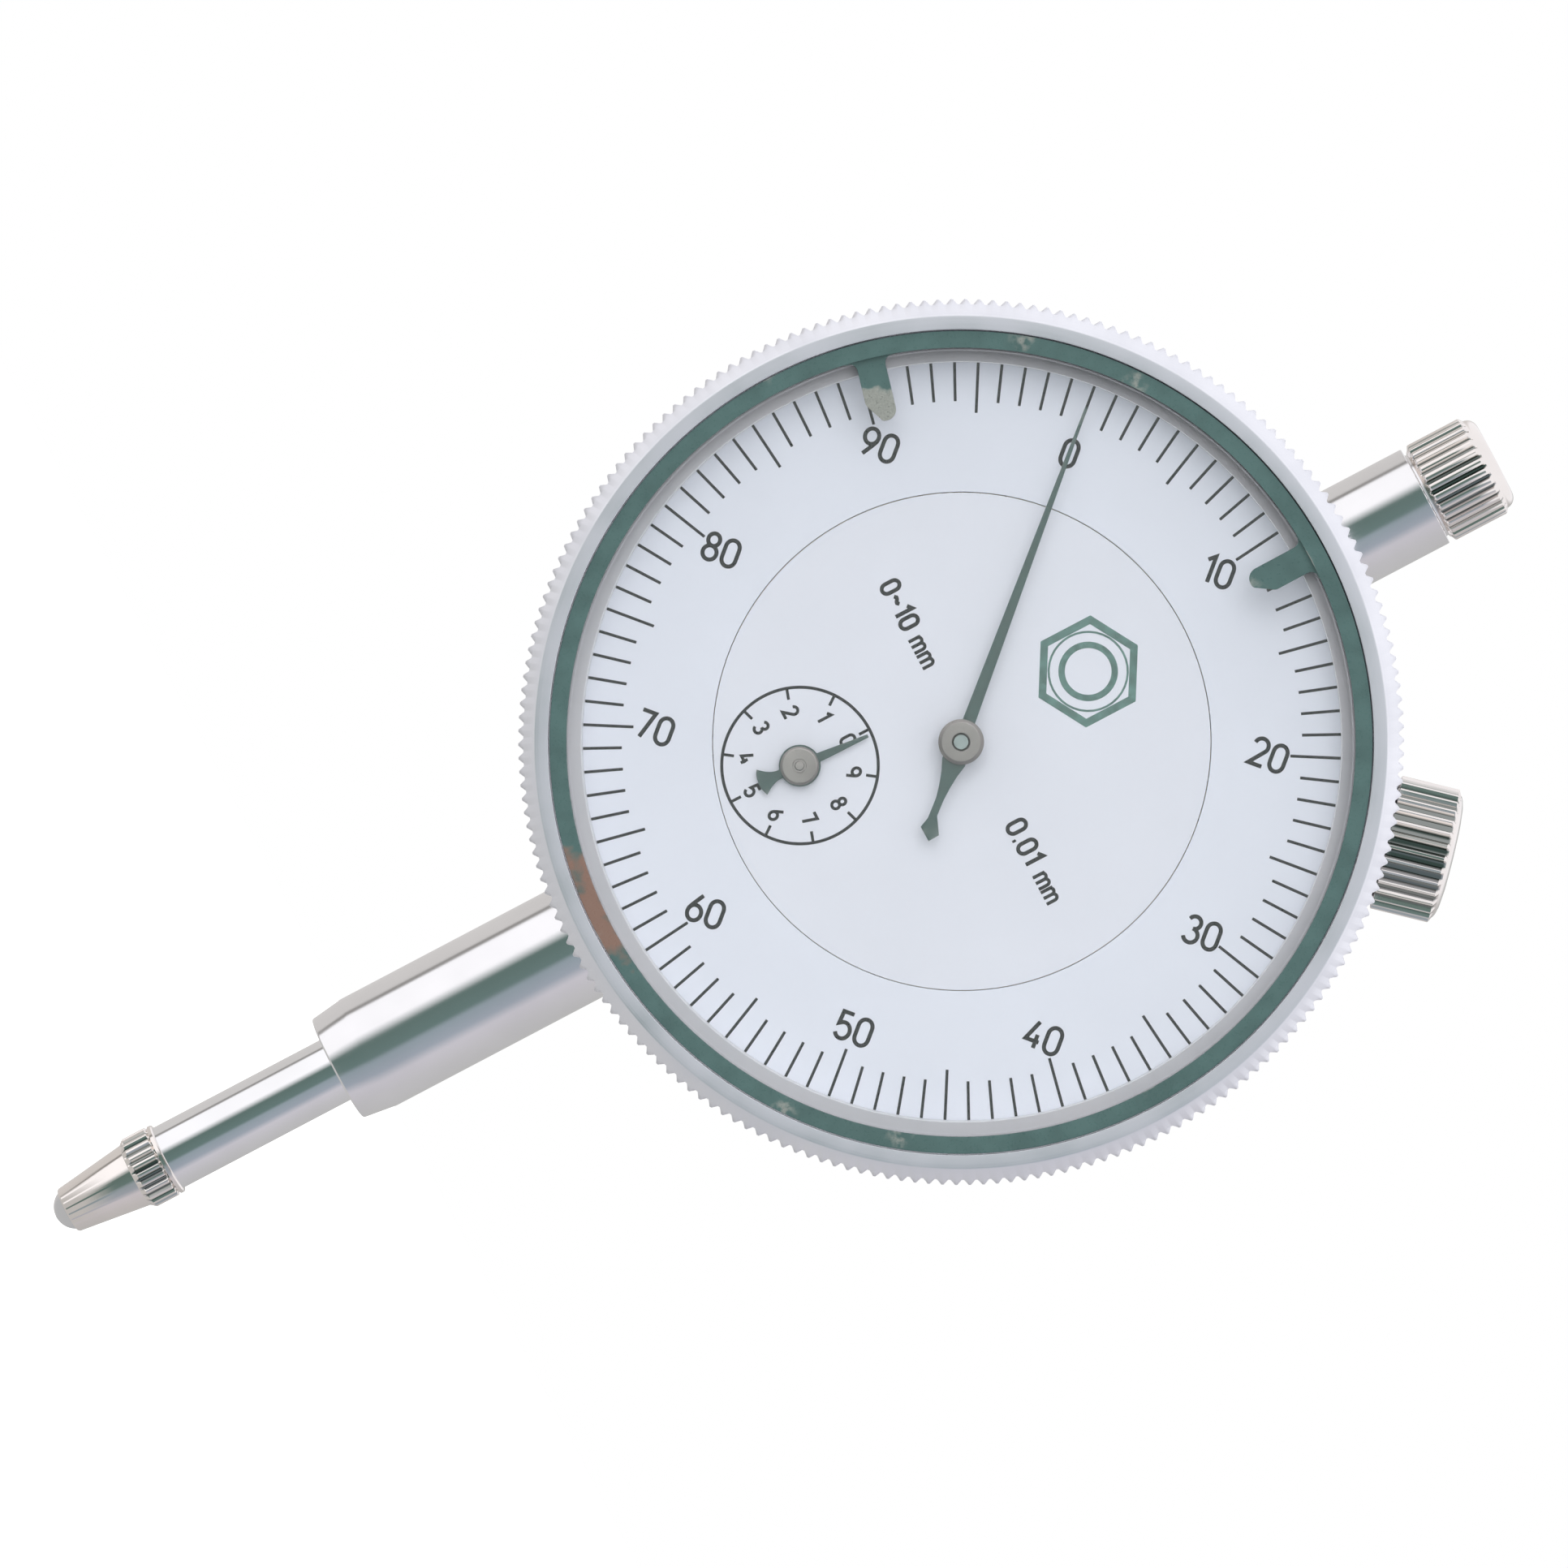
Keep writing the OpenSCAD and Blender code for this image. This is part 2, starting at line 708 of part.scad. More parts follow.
// Blade of the main pointer, pointing up, its tail a diamond
module blade() {
    polygon([
        [0.09, 23.4], [-0.09, 23.4], [-0.43, 1.2], [-0.8, -1.4], [-0.37, -3.1], [-0.21, -5],
        [-0.66, -6.08], [0, -6.76], [0.66, -6.08], [0.21, -5], [0.37, -3.1], [0.8, -1.4], [0.43, 1.2]
    ]);
    circle(r = 1.25);
}

module main_pointer() {
    color([0.35, 0.45, 0.45]) in_dial() rotate([0, 0, pointer_rest]) difference() {
        layer(blade_h) blade();
        hole(0.8 + snug, blade_h);
    }
}

module main_pointer_hub() {
    color([0.7, 0.69, 0.67]) in_dial()
        pointer_hub(centre_end_r + snug, 0.8, 1.2, 1.5, 10.2, blade_h, 11.4);
}

module takeup_arbor() {
    color([0.7, 0.71, 0.72]) in_dial() at_points([takeup_arbor_at]) union() {
        rod(arbor_r, [3.7, 6.5]);
        rod(pivot_r, [plate_h[0] + 0.1, 3.8]);
        rod(pivot_r, [6.4, bridge_h[1] - 0.1]);
    }
}

module takeup_wheel() {
    color([0.82, 0.7, 0.42]) in_dial() at_points([takeup_arbor_at]) spoked_wheel(first_angle);
}

module hairspring_collet() {
    color([0.78, 0.66, 0.38]) in_dial() at_points([takeup_arbor_at]) difference() {
        rod(0.9, [3.9, 4.8]);
        hole(arbor_r + snug, [3.9, 4.8]);
    }
}

// ---- Bezel ----

module bezel() {
    r = bezel_d / 2;
    core = r - 0.5;
    bore = case_r + 0.08;
    groove_r = 27.1;
    ledge_r = 25.2;
    ledge_h = 8.1;
    color([0.75, 0.77, 0.8]) in_dial() union() {
        turned([
            [bezel_seat_r, bezel_h[1]], [27.9, bezel_h[1]], [core, bezel_h[1] - 0.49],
            [core, bezel_neck_top], [bezel_neck_r, bezel_neck_top], [bezel_neck_r, bezel_h[0]],
            [bore, bezel_h[0]], [bore, snap_groove_h[0]], [groove_r, snap_groove_h[0]],
            [groove_r, snap_groove_h[1]], [bore, snap_groove_h[1]], [bore, ledge_h],
            [ledge_r, ledge_h], [ledge_r, dial_h[0]], [bezel_seat_r, dial_h[0]]
        ]);
        knurl(bezel_teeth, r, 0.35, [bezel_neck_top, 13]);
    }
}

module dial_ring() {
    color([0.88, 0.89, 0.92]) in_dial() ring(inner_dial_r + 0.1, flange_r, dial_h);
}

module crystal() {
    color([0.9, 0.93, 0.95, 0.25]) in_dial() turned([
        [0, crystal_h[0]], [crystal_skirt_r, crystal_h[0]], [crystal_skirt_r, dial_h[1]],
        [flange_r, dial_h[1]], [flange_r, crystal_flange_h], [crystal_r, crystal_flange_h],
        [crystal_r, crystal_h[1]], [0, crystal_h[1]]
    ]);
}

module retaining_ring() {
    color([0.38, 0.48, 0.49]) in_dial() ring(crystal_r, bezel_seat_r - snug, ring_h);
}

module bezel_snap_ring() {
    color([0.55, 0.56, 0.58]) in_dial() difference() {
        ring(case_r - 0.3, 27.05, [6.22, 6.98]);
        translate([-1, -30, 6]) cube([2, 10, 2]);
    }
}

// Tab over the crystal with its foot under the retaining ring, side is the bevelled side
module limit_marker(angle, side) {
    half = 0.94;
    corner = 0.74;
    tip = 21.6;
    foot = [25.8, 26.8];
    spread = 3.6;
    in_dial() rotate([0, 0, -angle]) {
        layer(marker_h) scale([side, 1]) {
            polygon([
                [-half, foot[0]], [-half, tip + corner], [-half + corner, tip], [0.05, tip],
                [half, tip + 1.35], [half, foot[0]]
            ]);
            translate([-half + corner, tip + corner]) circle(corner);
        }
        intersection() {
            difference() {
                rod(foot[1], [crystal_flange_h + 0.1, marker_h[1]]);
                hole(foot[0], [crystal_flange_h, marker_h[1]]);
            }
            translate([0, 0, 10]) linear_extrude(5)
                polygon([[0, 0], polar(40, 90 + spread), polar(40, 90 - spread)]);
        }
    }
}

module limit_marker_left() {
    color([0.4, 0.5, 0.5]) limit_marker(left_marker_angle, -1);
}

module limit_marker_right() {
    color([0.4, 0.5, 0.5]) limit_marker(right_marker_angle, 1);
}

// ---- Bezel clamp ----

// Plate on the case whose nose bears on the bezel's neck
module clamp_shoe() {
    color([0.6, 0.61, 0.63]) difference() {
        in_dial() difference() {
            rotate([0, 0, -clamp_angle]) translate([-4, 26, -3.6]) cube([8, 2.6, 10.5]);
            rod(case_r + 0.1, [-5, 5.7]);
            rod(bezel_neck_r + 0.05, [5.6, 8]);
        }
        in_dial() in_clamp() rod(clamp_hole_r, [20, 30]);
    }
}

module clamp_screw() {
    core = knob_r - 0.3;
    low = knob_reach[0];
    high = knob_reach[1];
    color([0.78, 0.76, 0.72]) in_dial() in_clamp() union() {
        turned([
            [0, 22.6], [clamp_screw_r, 22.6], [clamp_screw_r, low], [core - 0.3, low],
            [core, low + 0.3], [core, high - 0.7], [core - 0.5, high - 0.25],
            [2.2, high], [0, high]
        ]);
        knurl(32, knob_r, 0.28, [low + 0.3, high - 0.7]);
    }
}

case();
stem();
stem_bush();
top_tube();
top_bush();
dust_cap();
main_plate();
plate_screws();
pillars();
front_bridge();
bridge_screws();
pivot_bushes();
pinion_cock();
cock_screw();
guide_fork();
guide_screws();
spring_post();
return_spring();
hairspring();
hairspring_stud();
dial_plate();
dial_feet();
back_cover();
cover_gasket();
cover_screws();
lug();
lug_screws();
spindle();
contact_point();
contact_ball();
guide_pin();
rack_pinion();
first_wheel();
small_pointer();
small_pointer_hub();
centre_pinion();
main_pointer();
main_pointer_hub();
takeup_arbor();
takeup_wheel();
hairspring_collet();
bezel();
dial_ring();
crystal();
retaining_ring();
bezel_snap_ring();
limit_marker_left();
limit_marker_right();
clamp_shoe();
clamp_screw();
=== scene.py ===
"""Looks of a plunger dial indicator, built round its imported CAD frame.

The world is in metres, in the CAD's frame: the dial faces -Y and the spindle points down -Z.
Shapes are drawn in millimetres in a local frame and placed by a matrix. DIAL has x to the right,
y up and z out of the dial. STEM has z up along the spindle. CLAMP has z out along the clamp screw.
"""

import json
import math

import bmesh
import bpy
from mathutils import Matrix, Vector


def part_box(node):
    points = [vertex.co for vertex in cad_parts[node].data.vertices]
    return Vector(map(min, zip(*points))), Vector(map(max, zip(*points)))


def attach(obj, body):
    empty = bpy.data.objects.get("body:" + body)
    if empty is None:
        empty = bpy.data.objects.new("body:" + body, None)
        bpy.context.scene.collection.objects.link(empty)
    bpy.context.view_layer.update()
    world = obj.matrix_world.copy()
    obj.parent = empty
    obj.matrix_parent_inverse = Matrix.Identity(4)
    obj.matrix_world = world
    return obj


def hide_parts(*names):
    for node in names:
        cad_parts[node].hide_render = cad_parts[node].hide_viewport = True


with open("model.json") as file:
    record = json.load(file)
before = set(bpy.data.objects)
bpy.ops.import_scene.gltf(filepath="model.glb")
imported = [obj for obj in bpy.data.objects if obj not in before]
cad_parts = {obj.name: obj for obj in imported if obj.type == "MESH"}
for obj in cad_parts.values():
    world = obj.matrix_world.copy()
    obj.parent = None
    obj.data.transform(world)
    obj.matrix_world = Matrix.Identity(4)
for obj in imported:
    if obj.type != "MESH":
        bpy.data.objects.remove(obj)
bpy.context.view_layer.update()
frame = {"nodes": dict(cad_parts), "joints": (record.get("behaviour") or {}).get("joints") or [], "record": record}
SCENE = bpy.context.scene
RECORD = frame["record"]
JOINTS = {joint["name"]: joint for joint in frame["joints"]}
SLOT_OF = {row["node"]: row["material_slot"] for row in RECORD["subparts"]}
BODY_OF = {name: body for body, names in RECORD["behaviour"]["bodies"].items() for name in names}
MM = 0.001

# ---- Frames ----

crystal_low, crystal_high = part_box("crystal")
DIAL_CENTRE = (crystal_low.z + crystal_high.z) / 2
DIAL = Matrix(((MM, 0, 0, 0), (0, 0, -MM, 0), (0, MM, 0, DIAL_CENTRE), (0, 0, 0, 1)))
STEM = Matrix.Diagonal((MM, MM, MM, 1))

# The main pointer and the ring's zero rest this far counter-clockwise from the top
POINTER_REST = 41.7
RING = DIAL @ Matrix.Rotation(math.radians(POINTER_REST), 4, "Z")

counter_at = JOINTS["revolution_counter_turn"]["pos_m"]
COUNTER_CENTRE = Vector((counter_at[0] / MM, (counter_at[2] - DIAL_CENTRE) / MM))
COUNTER = DIAL @ Matrix.Translation(COUNTER_CENTRE.to_3d())
COUNTER_POINTER = COUNTER @ Matrix.Rotation(math.radians(-POINTER_REST / 10), 4, "Z")

clamp_axis = Vector(JOINTS["clamp_turn"]["axis"])
CLAMP_PIVOT_REACH = 30
clamp_origin = Vector(JOINTS["clamp_turn"]["pos_m"]) - clamp_axis * CLAMP_PIVOT_REACH * MM
CLAMP = Matrix.Translation(clamp_origin) @ clamp_axis.to_track_quat("Z", "Y").to_matrix().to_4x4() @ STEM


def levels(node):
    """How far a node reaches out of the dial, in millimetres: (back, front)."""
    low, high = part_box(node)
    return -high.y / MM, -low.y / MM


def heights(node):
    """How far a node reaches along the spindle, in millimetres: (low, high)."""
    low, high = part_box(node)
    return low.z / MM, high.z / MM


RING_BACK, RING_FACE = levels("dial_ring")
DISC_FACE = levels("dial_plate")[1]
# Thickness of the printing
INK = 0.012


# ---- Outlines and meshes ----


def polar(r, clockwise):
    """Point at a radius and at an angle in degrees clockwise from the top."""
    a = math.radians(clockwise)
    return r * math.sin(a), r * math.cos(a)


def arc(centre, radii, start, end, steps=12):
    """Points on an ellipse, angles in degrees counter-clockwise from x."""
    turn = [math.radians(start + (end - start) * i / steps) for i in range(steps + 1)]
    return [(centre[0] + radii[0] * math.cos(a), centre[1] + radii[1] * math.sin(a)) for a in turn]


def soften(points, cut, closed=True):
    """Rounds the corners of an outline, each starting at most cut away from the corner."""
    steps = 3
    most = 0.45
    points = [Vector((*p, 0, 0)[:3]) for p in points]
    out = []
    for i, corner in enumerate(points):
        if not closed and i in (0, len(points) - 1):
            out.append(corner)
            continue
        back, on = points[i - 1] - corner, points[(i + 1) % len(points)] - corner
        reach = min(cut, most * back.length, most * on.length)
        start, end = corner + back.normalized() * reach, corner + on.normalized() * reach
        for s in range(steps + 1):
            t = s / steps
            out.append(start * (1 - t) ** 2 + corner * 2 * t * (1 - t) + end * t ** 2)
    return out


def plain_columns(count):
    """Evenly spaced columns of a smooth turned piece."""
    return [(math.tau * i / count, 0) for i in range(count)]


def toothed_columns(teeth, shape=((0, 0), (0.3, 0), (0.55, 1), (0.75, 1))):
    """Columns of a knurled piece. shape gives (share of the pitch, share of the depth) in one tooth."""
    return [(math.tau * (k + at) / teeth, deep) for k in range(teeth) for at, deep in shape]


def lathe(profile, columns):
    """Solid of revolution about z from a closed profile of (radius, height, depth of its teeth).

    The attribute "hollow" is 1 in the valleys between the teeth and 0 elsewhere."""
    bm = bmesh.new()
    hollow = bm.verts.layers.float.new("hollow")
    rings = []
    for p in profile:
        r, z, depth = (*p, 0)[:3]
        if r < 1e-6:
            rings.append([bm.verts.new((0, 0, z))])
            continue
        ring = []
        for a, deep in columns:
            reach = r - depth * deep
            vert = bm.verts.new((reach * math.cos(a), reach * math.sin(a), z))
            vert[hollow] = max(0, deep) if depth else 0
            ring.append(vert)
        rings.append(ring)
    for lower, upper in zip(rings, rings[1:] + rings[:1]):
        for i in range(len(columns)):
            ring = [
                lower[i % len(lower)], lower[(i + 1) % len(columns) % len(lower)],
                upper[(i + 1) % len(columns) % len(upper)], upper[i % len(upper)],
            ]
            corners = list(dict.fromkeys(ring))
            if len(corners) > 2:
                bm.faces.new(corners)
    return bm


def inset(points, distance):
    """Moves a counter-clockwise outline inwards, holding back at sharp corners."""
    least = 0.3
    out = []
    for i, p in enumerate(points):
        before = (p - points[i - 1]).normalized()
        after = (points[(i + 1) % len(points)] - p).normalized()
        n1, n2 = Vector((-before.y, before.x)), Vector((-after.y, after.x))
        out.append(p + (n1 + n2) * distance / max(least, 1 + n1.dot(n2)))
    return out


def plate(bm, outline, low, high, edge):
    """Adds a flat solid with a counter-clockwise outline and a small chamfer on its upper edge."""
    points = [Vector(p[:2]) for p in outline]
    area = sum(a.cross(b) for a, b in zip(points, points[1:] + points[:1]))
    if area < 0:
        points.reverse()
    loops = [
        [bm.verts.new((p.x, p.y, z)) for p in ring]
        for ring, z in ((points, low), (points, high - edge), (inset(points, edge), high))
    ]
    for lower, upper in zip(loops, loops[1:]):
        for i in range(len(points)):
            j = (i + 1) % len(points)
            bm.faces.new((lower[i], lower[j], upper[j], upper[i]))
    ends = [bm.faces.new(loops[0][::-1]), bm.faces.new(loops[-1])]
    bm.normal_update()
    bmesh.ops.triangulate(bm, faces=ends, ngon_method="EAR_CLIP")


def stroke(bm, points, width, low, high, closed=False):
    """Adds a flat ribbon along a line, such as a printed stroke, with mitred bends."""
    least = 0.4
    points = [Vector(p[:2]) for p in points]
    count = len(points)
    rows = []
    for i, p in enumerate(points):
        legs = []
        if closed or i > 0:
            legs.append((p - points[i - 1]).normalized())
        if closed or i < count - 1:
            legs.append((points[(i + 1) % count] - p).normalized())
        sides = [Vector((-leg.y, leg.x)) for leg in legs]
        across = sum(sides, Vector((0, 0))).normalized()
        across *= width / 2 / max(least, across.dot(sides[0]))
        corners = ((p + across, high), (p - across, high), (p - across, low), (p + across, low))
        rows.append([bm.verts.new((q.x, q.y, z)) for q, z in corners])
    for a, b in zip(rows, rows[1:] + (rows[:1] if closed else [])):
        for i in range(4):
            j = (i + 1) % 4
            bm.faces.new((a[i], a[j], b[j], b[i]))
    if not closed:
        bm.faces.new(rows[0][::-1])
        bm.faces.new(rows[-1])


# Edges that turn by more than this many degrees stay crisp
CREASE = 32


def piece(name, bm, place, body, material, replaces=(), crease=CREASE):
    """Makes a finished object from a mesh drawn in a local frame, riding on a CAD body."""
    bmesh.ops.recalc_face_normals(bm, faces=bm.faces)
    bm.transform(place)
    mesh = bpy.data.meshes.new(name)
    bm.to_mesh(mesh)
    bm.free()
    mesh.shade_smooth()
    mesh.set_sharp_from_angle(angle=math.radians(crease))
    mesh.materials.append(material)
    obj = bpy.data.objects.new(name, mesh)
    SCENE.collection.objects.link(obj)
    flat_faces = obj.modifiers.new("flat_faces", "WEIGHTED_NORMAL")
    flat_faces.keep_sharp = True
    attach(obj, body)
    if replaces:
        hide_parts(*replaces)
    return obj


def stand_in(name, bm, place, material=None, crease=CREASE):
    """Makes the finished object that replaces the CAD node of the same name."""
    slot = SLOT_OF[name]
    return piece(name, bm, place, BODY_OF[name], material or LOOKS[slot], [name], crease)


# ---- Lettering: strokes in a box one unit high ----

DIGIT_WIDTH = 0.52
HALF = DIGIT_WIDTH / 2
LOOP = arc((HALF, 0.72), (HALF, 0.28), 0, 180) + arc((HALF, 0.28), (HALF, 0.28), 180, 360)
SIX_BOWL = arc((HALF, 0.29), (HALF, 0.29), 0, 345, 22)
SIX_STEM = [(0.38, 1), (0.12, 0.6), (0.02, 0.42), (0.005, 0.3)]


def turned_over(points):
    """The same stroke turned half round, which makes a 9 of a 6."""
    return [(DIGIT_WIDTH - x, 1 - y) for x, y in points]


# Each glyph is its width and its strokes, a stroke being (points, closed)
GLYPHS = {
    "0": (DIGIT_WIDTH, [(LOOP, True)]),
    "1": (0.3, [([(0.02, 0.8), (0.26, 1), (0.26, 0)], False)]),
    "2": (DIGIT_WIDTH, [(arc((HALF, 0.73), (HALF, 0.27), 170, -35) + [(0, 0), (DIGIT_WIDTH, 0)], False)]),
    "3": (DIGIT_WIDTH, [
        (arc((0.25, 0.765), (0.235, 0.235), 160, -90), False),
        (arc((0.25, 0.27), (0.27, 0.27), 90, -160), False),
    ]),
    "4": (DIGIT_WIDTH, [
        ([(0.32, 1), (0, 0.26), (DIGIT_WIDTH, 0.26)], False),
        ([(0.39, 0.52), (0.39, 0)], False),
    ]),
    "5": (DIGIT_WIDTH, [
        ([(0.47, 1), (0.07, 1), (0.04, 0.53)] + arc((0.25, 0.31), (0.27, 0.31), 125, -155, 16), False),
    ]),
    "6": (DIGIT_WIDTH, [(SIX_BOWL, True), (SIX_STEM, False)]),
    "7": (DIGIT_WIDTH, [([(0, 1), (0.5, 1), (0.2, 0)], False)]),
    "8": (DIGIT_WIDTH, [
        (arc((HALF, 0.765), (0.22, 0.235), 0, 345, 22), True),
        (arc((HALF, 0.265), (HALF, 0.265), 0, 345, 22), True),
    ]),
    "9": (DIGIT_WIDTH, [(turned_over(SIX_BOWL), True), (turned_over(SIX_STEM), False)]),
    "m": (0.66, [
        ([(0, 0), (0, 0.68)], False),
        (arc((0.165, 0.48), (0.165, 0.18), 180, 0) + [(0.33, 0)], False),
        (arc((0.495, 0.48), (0.165, 0.18), 180, 0) + [(0.66, 0)], False),
    ]),
    ".": (0.1, [([(0, 0.03), (0.13, 0.03)], False)]),
    "~": (0.46, [([(0, 0.42), (0.1, 0.52), (0.2, 0.5), (0.3, 0.42), (0.38, 0.4), (0.48, 0.5)], False)]),
}


def write(bm, text, centre, height, width, gap, face):
    """Prints text, height high over its strokes, centred on a point of a flat face.

    Where strokes of a glyph cross, each lies a little lower than the one before."""
    size = height - width
    drop = 0.0004
    advance = [GLYPHS[c][0] * size + gap for c in text]
    x = centre[0] - (sum(advance) - gap) / 2
    for c, move in zip(text, advance):
        for i, (points, closed) in enumerate(GLYPHS[c][1]):
            placed = [(x + px * size, centre[1] + (py - 0.5) * size) for px, py in points]
            stroke(bm, placed, width, face, face + INK - i * drop, closed)
        x += move


# ---- Materials ----


def node(tree, kind, inputs=(), **settings):
    """Adds a shader node. inputs maps a socket to a value or to another node's output."""
    made = tree.nodes.new(kind)
    for key, value in settings.items():
        setattr(made, key, value)
    for key, value in dict(inputs).items():
        if isinstance(value, bpy.types.NodeSocket):
            tree.links.new(value, made.inputs[key])
        else:
            made.inputs[key].default_value = value
    return made


def srgb(r, g, b):
    """Linear colour from display values out of 255."""
    unit = [v / 255 for v in (r, g, b)]
    return tuple(v / 12.92 if v <= 0.04045 else ((v + 0.055) / 1.055) ** 2.4 for v in unit)


def shade(colour, factor):
    """A colour made darker or lighter, with its alpha."""
    return (*[min(1, v * factor) for v in colour[:3]], 1)


def principled(name, inputs):
    """New material with a Principled shader, given the values that are the same all over."""
    material = bpy.data.materials.new(name)
    material.use_nodes = True
    tree = material.node_tree
    shader = tree.nodes["Principled BSDF"]
    for key, value in inputs.items():
        shader.inputs[key].default_value = value
    return material, tree, shader


def maths(tree, operation, *values):
    """Result of a calculation on values or outputs."""
    return node(tree, "ShaderNodeMath", dict(enumerate(values)), operation=operation).outputs[0]


def grain(tree, lay):
    """Place on the piece in millimetres, squeezed along the way its finish was worked.

    "dial" runs in circles round the dial's axis, "turned" round the spindle and "drawn" along it."""
    per_mm = 1 / MM
    at = node(tree, "ShaderNodeTexCoord").outputs["Object"]
    if lay == "dial":
        centred = node(tree, "ShaderNodeMapping", {
            "Vector": at, "Location": (0, 0, -DIAL_CENTRE * per_mm), "Scale": (per_mm, 0, per_mm),
        }).outputs[0]
        radius = node(tree, "ShaderNodeVectorMath", {0: centred}, operation="LENGTH").outputs["Value"]
        depth = node(tree, "ShaderNodeSeparateXYZ", {0: at}).outputs["Y"]
        depth_mm = maths(tree, "MULTIPLY", depth, per_mm)
        return node(tree, "ShaderNodeCombineXYZ", {"X": radius, "Y": depth_mm}).outputs[0]
    squeeze = {"even": (1, 1, 1), "turned": (0.02, 0.02, 1), "drawn": (1, 1, 0.03)}[lay]
    scale = tuple(per_mm * s for s in squeeze)
    return node(tree, "ShaderNodeMapping", {"Vector": at, "Scale": scale}).outputs[0]


def noise(tree, at, per_mm, detail):
    """Soft random pattern from 0 to 1, with per_mm features in a millimetre."""
    return node(tree, "ShaderNodeTexNoise", {"Vector": at, "Scale": per_mm, "Detail": detail}).outputs[0]


def ranged(tree, value, source, target):
    """Maps one range of a value to another, held at its ends."""
    return node(tree, "ShaderNodeMapRange", {
        "Value": value, "From Min": source[0], "From Max": source[1],
        "To Min": target[0], "To Max": target[1],
    }).outputs[0]


def blended(tree, factor, a, b):
    """Mixes two colours by a factor that varies over the surface."""
    mix = node(tree, "ShaderNodeMix", {0: factor}, data_type="RGBA")
    for socket, colour in ((6, a), (7, b)):
        if isinstance(colour, bpy.types.NodeSocket):
            tree.links.new(colour, mix.inputs[socket])
        else:
            mix.inputs[socket].default_value = colour
    return mix.outputs[2]


def roughen(tree, shader, marks, relief):
    """Adds relief in millimetres from a height pattern."""
    bump = node(tree, "ShaderNodeBump", {"Strength": 1.0, "Distance": relief * MM, "Height": marks})
    tree.links.new(bump.outputs[0], shader.inputs["Normal"])


def metal(name, colour, rough, lay, fine, relief, smudge=0.1, valley_shade=None):
    """Worked metal: fine lines along its lay, and soft handling marks in its gloss and colour.

    fine is the number of lines in a millimetre, relief their height in millimetres, and smudge how
    much the marks darken. The last argument is the colour of painted shade in the valleys of a knurl."""
    material, tree, shader = principled(name, {"Metallic": 1.0})
    lines = noise(tree, grain(tree, lay), fine, 3.0)
    patches = noise(tree, grain(tree, "even"), 0.22, 3.0)
    spread = node(tree, "ShaderNodeMix", {0: 0.45, 2: lines, 3: patches}).outputs[0]
    gloss = ranged(tree, spread, (0.32, 0.68), (rough * 0.72, rough * 1.32))
    tree.links.new(gloss, shader.inputs["Roughness"])
    handled = ranged(tree, patches, (0.35, 0.7), (0, 1))
    tone = blended(tree, handled, shade(colour, 1), shade(colour, 1 - smudge))
    # Painted shade: the valleys between a knurl's teeth are darkened towards the given colour
    if valley_shade:
        hollow = node(tree, "ShaderNodeAttribute", attribute_name="hollow").outputs["Fac"]
        held = ranged(tree, hollow, (0.35, 0.85), (0, 0.78))
        tone = blended(tree, held, tone, (*valley_shade, 1))
    tree.links.new(tone, shader.inputs["Base Color"])
    roughen(tree, shader, lines, relief)
    return material


def paint(name, colour, rough, brown_patch_at=None, bare_inside=None):
    """Baked enamel over metal: orange-peel relief, uneven tone and worn edges.

    brown_patch_at is a place (x, y) on the dial with a brown patch round it. bare_inside is a radius
    from the dial's centre inside which the enamel is worn off."""
    bare = srgb(176, 178, 172)
    material, tree, shader = principled(name, {"Specular IOR Level": 0.4, "Coat Weight": 0.15})
    even = grain(tree, "even")
    peel = noise(tree, even, 4.5, 3.0)
    cloud = noise(tree, even, 0.55, 3.0)
    clouded = ranged(tree, cloud, (0.35, 0.68), (0, 1))
    tone = blended(tree, clouded, shade(colour, 1.05), shade(colour, 0.86))
    if brown_patch_at:
        # Mixes a ragged brown patch into the ring's face round that place
        place = (brown_patch_at[0], -RING_FACE, brown_patch_at[1] + DIAL_CENTRE / MM)
        away = node(tree, "ShaderNodeVectorMath", {0: even, 1: place}, operation="DISTANCE").outputs["Value"]
        ragged = maths(tree, "MULTIPLY_ADD", cloud, 7.0, away)
        tone = blended(tree, ranged(tree, ragged, (9.2, 7.8), (0, 0.8)), tone, (*BROWN_PATCH, 1))
    edge = node(tree, "ShaderNodeNewGeometry").outputs["Pointiness"]
    worn = ranged(tree, edge, (0.56, 0.64), (0, 1))
    patchy = ranged(tree, noise(tree, even, 1.6, 4.0), (0.42, 0.6), (0, 0.7))
    wear = maths(tree, "MULTIPLY", worn, patchy)
    if bare_inside:
        radius = node(tree, "ShaderNodeSeparateXYZ", {0: grain(tree, "dial")}).outputs["X"]
        ragged = maths(tree, "MULTIPLY_ADD", cloud, 2.2, radius)
        bared = ranged(tree, ragged, (bare_inside + 1.0, bare_inside + 1.25), (1, 0))
        wear = maths(tree, "MAXIMUM", wear, bared)
    scratches = noise(tree, even, 9.0, 4.0)
    steel = blended(tree, scratches, shade(bare, 0.6), shade(bare, 1.25))
    tree.links.new(blended(tree, wear, tone, steel), shader.inputs["Base Color"])
    tree.links.new(ranged(tree, wear, (0, 1), (0, 0.45)), shader.inputs["Metallic"])
    gloss = ranged(tree, peel, (0.3, 0.7), (rough * 0.8, rough * 1.25))
    tree.links.new(gloss, shader.inputs["Roughness"])
    roughen(tree, shader, peel, 0.0012)
    return material


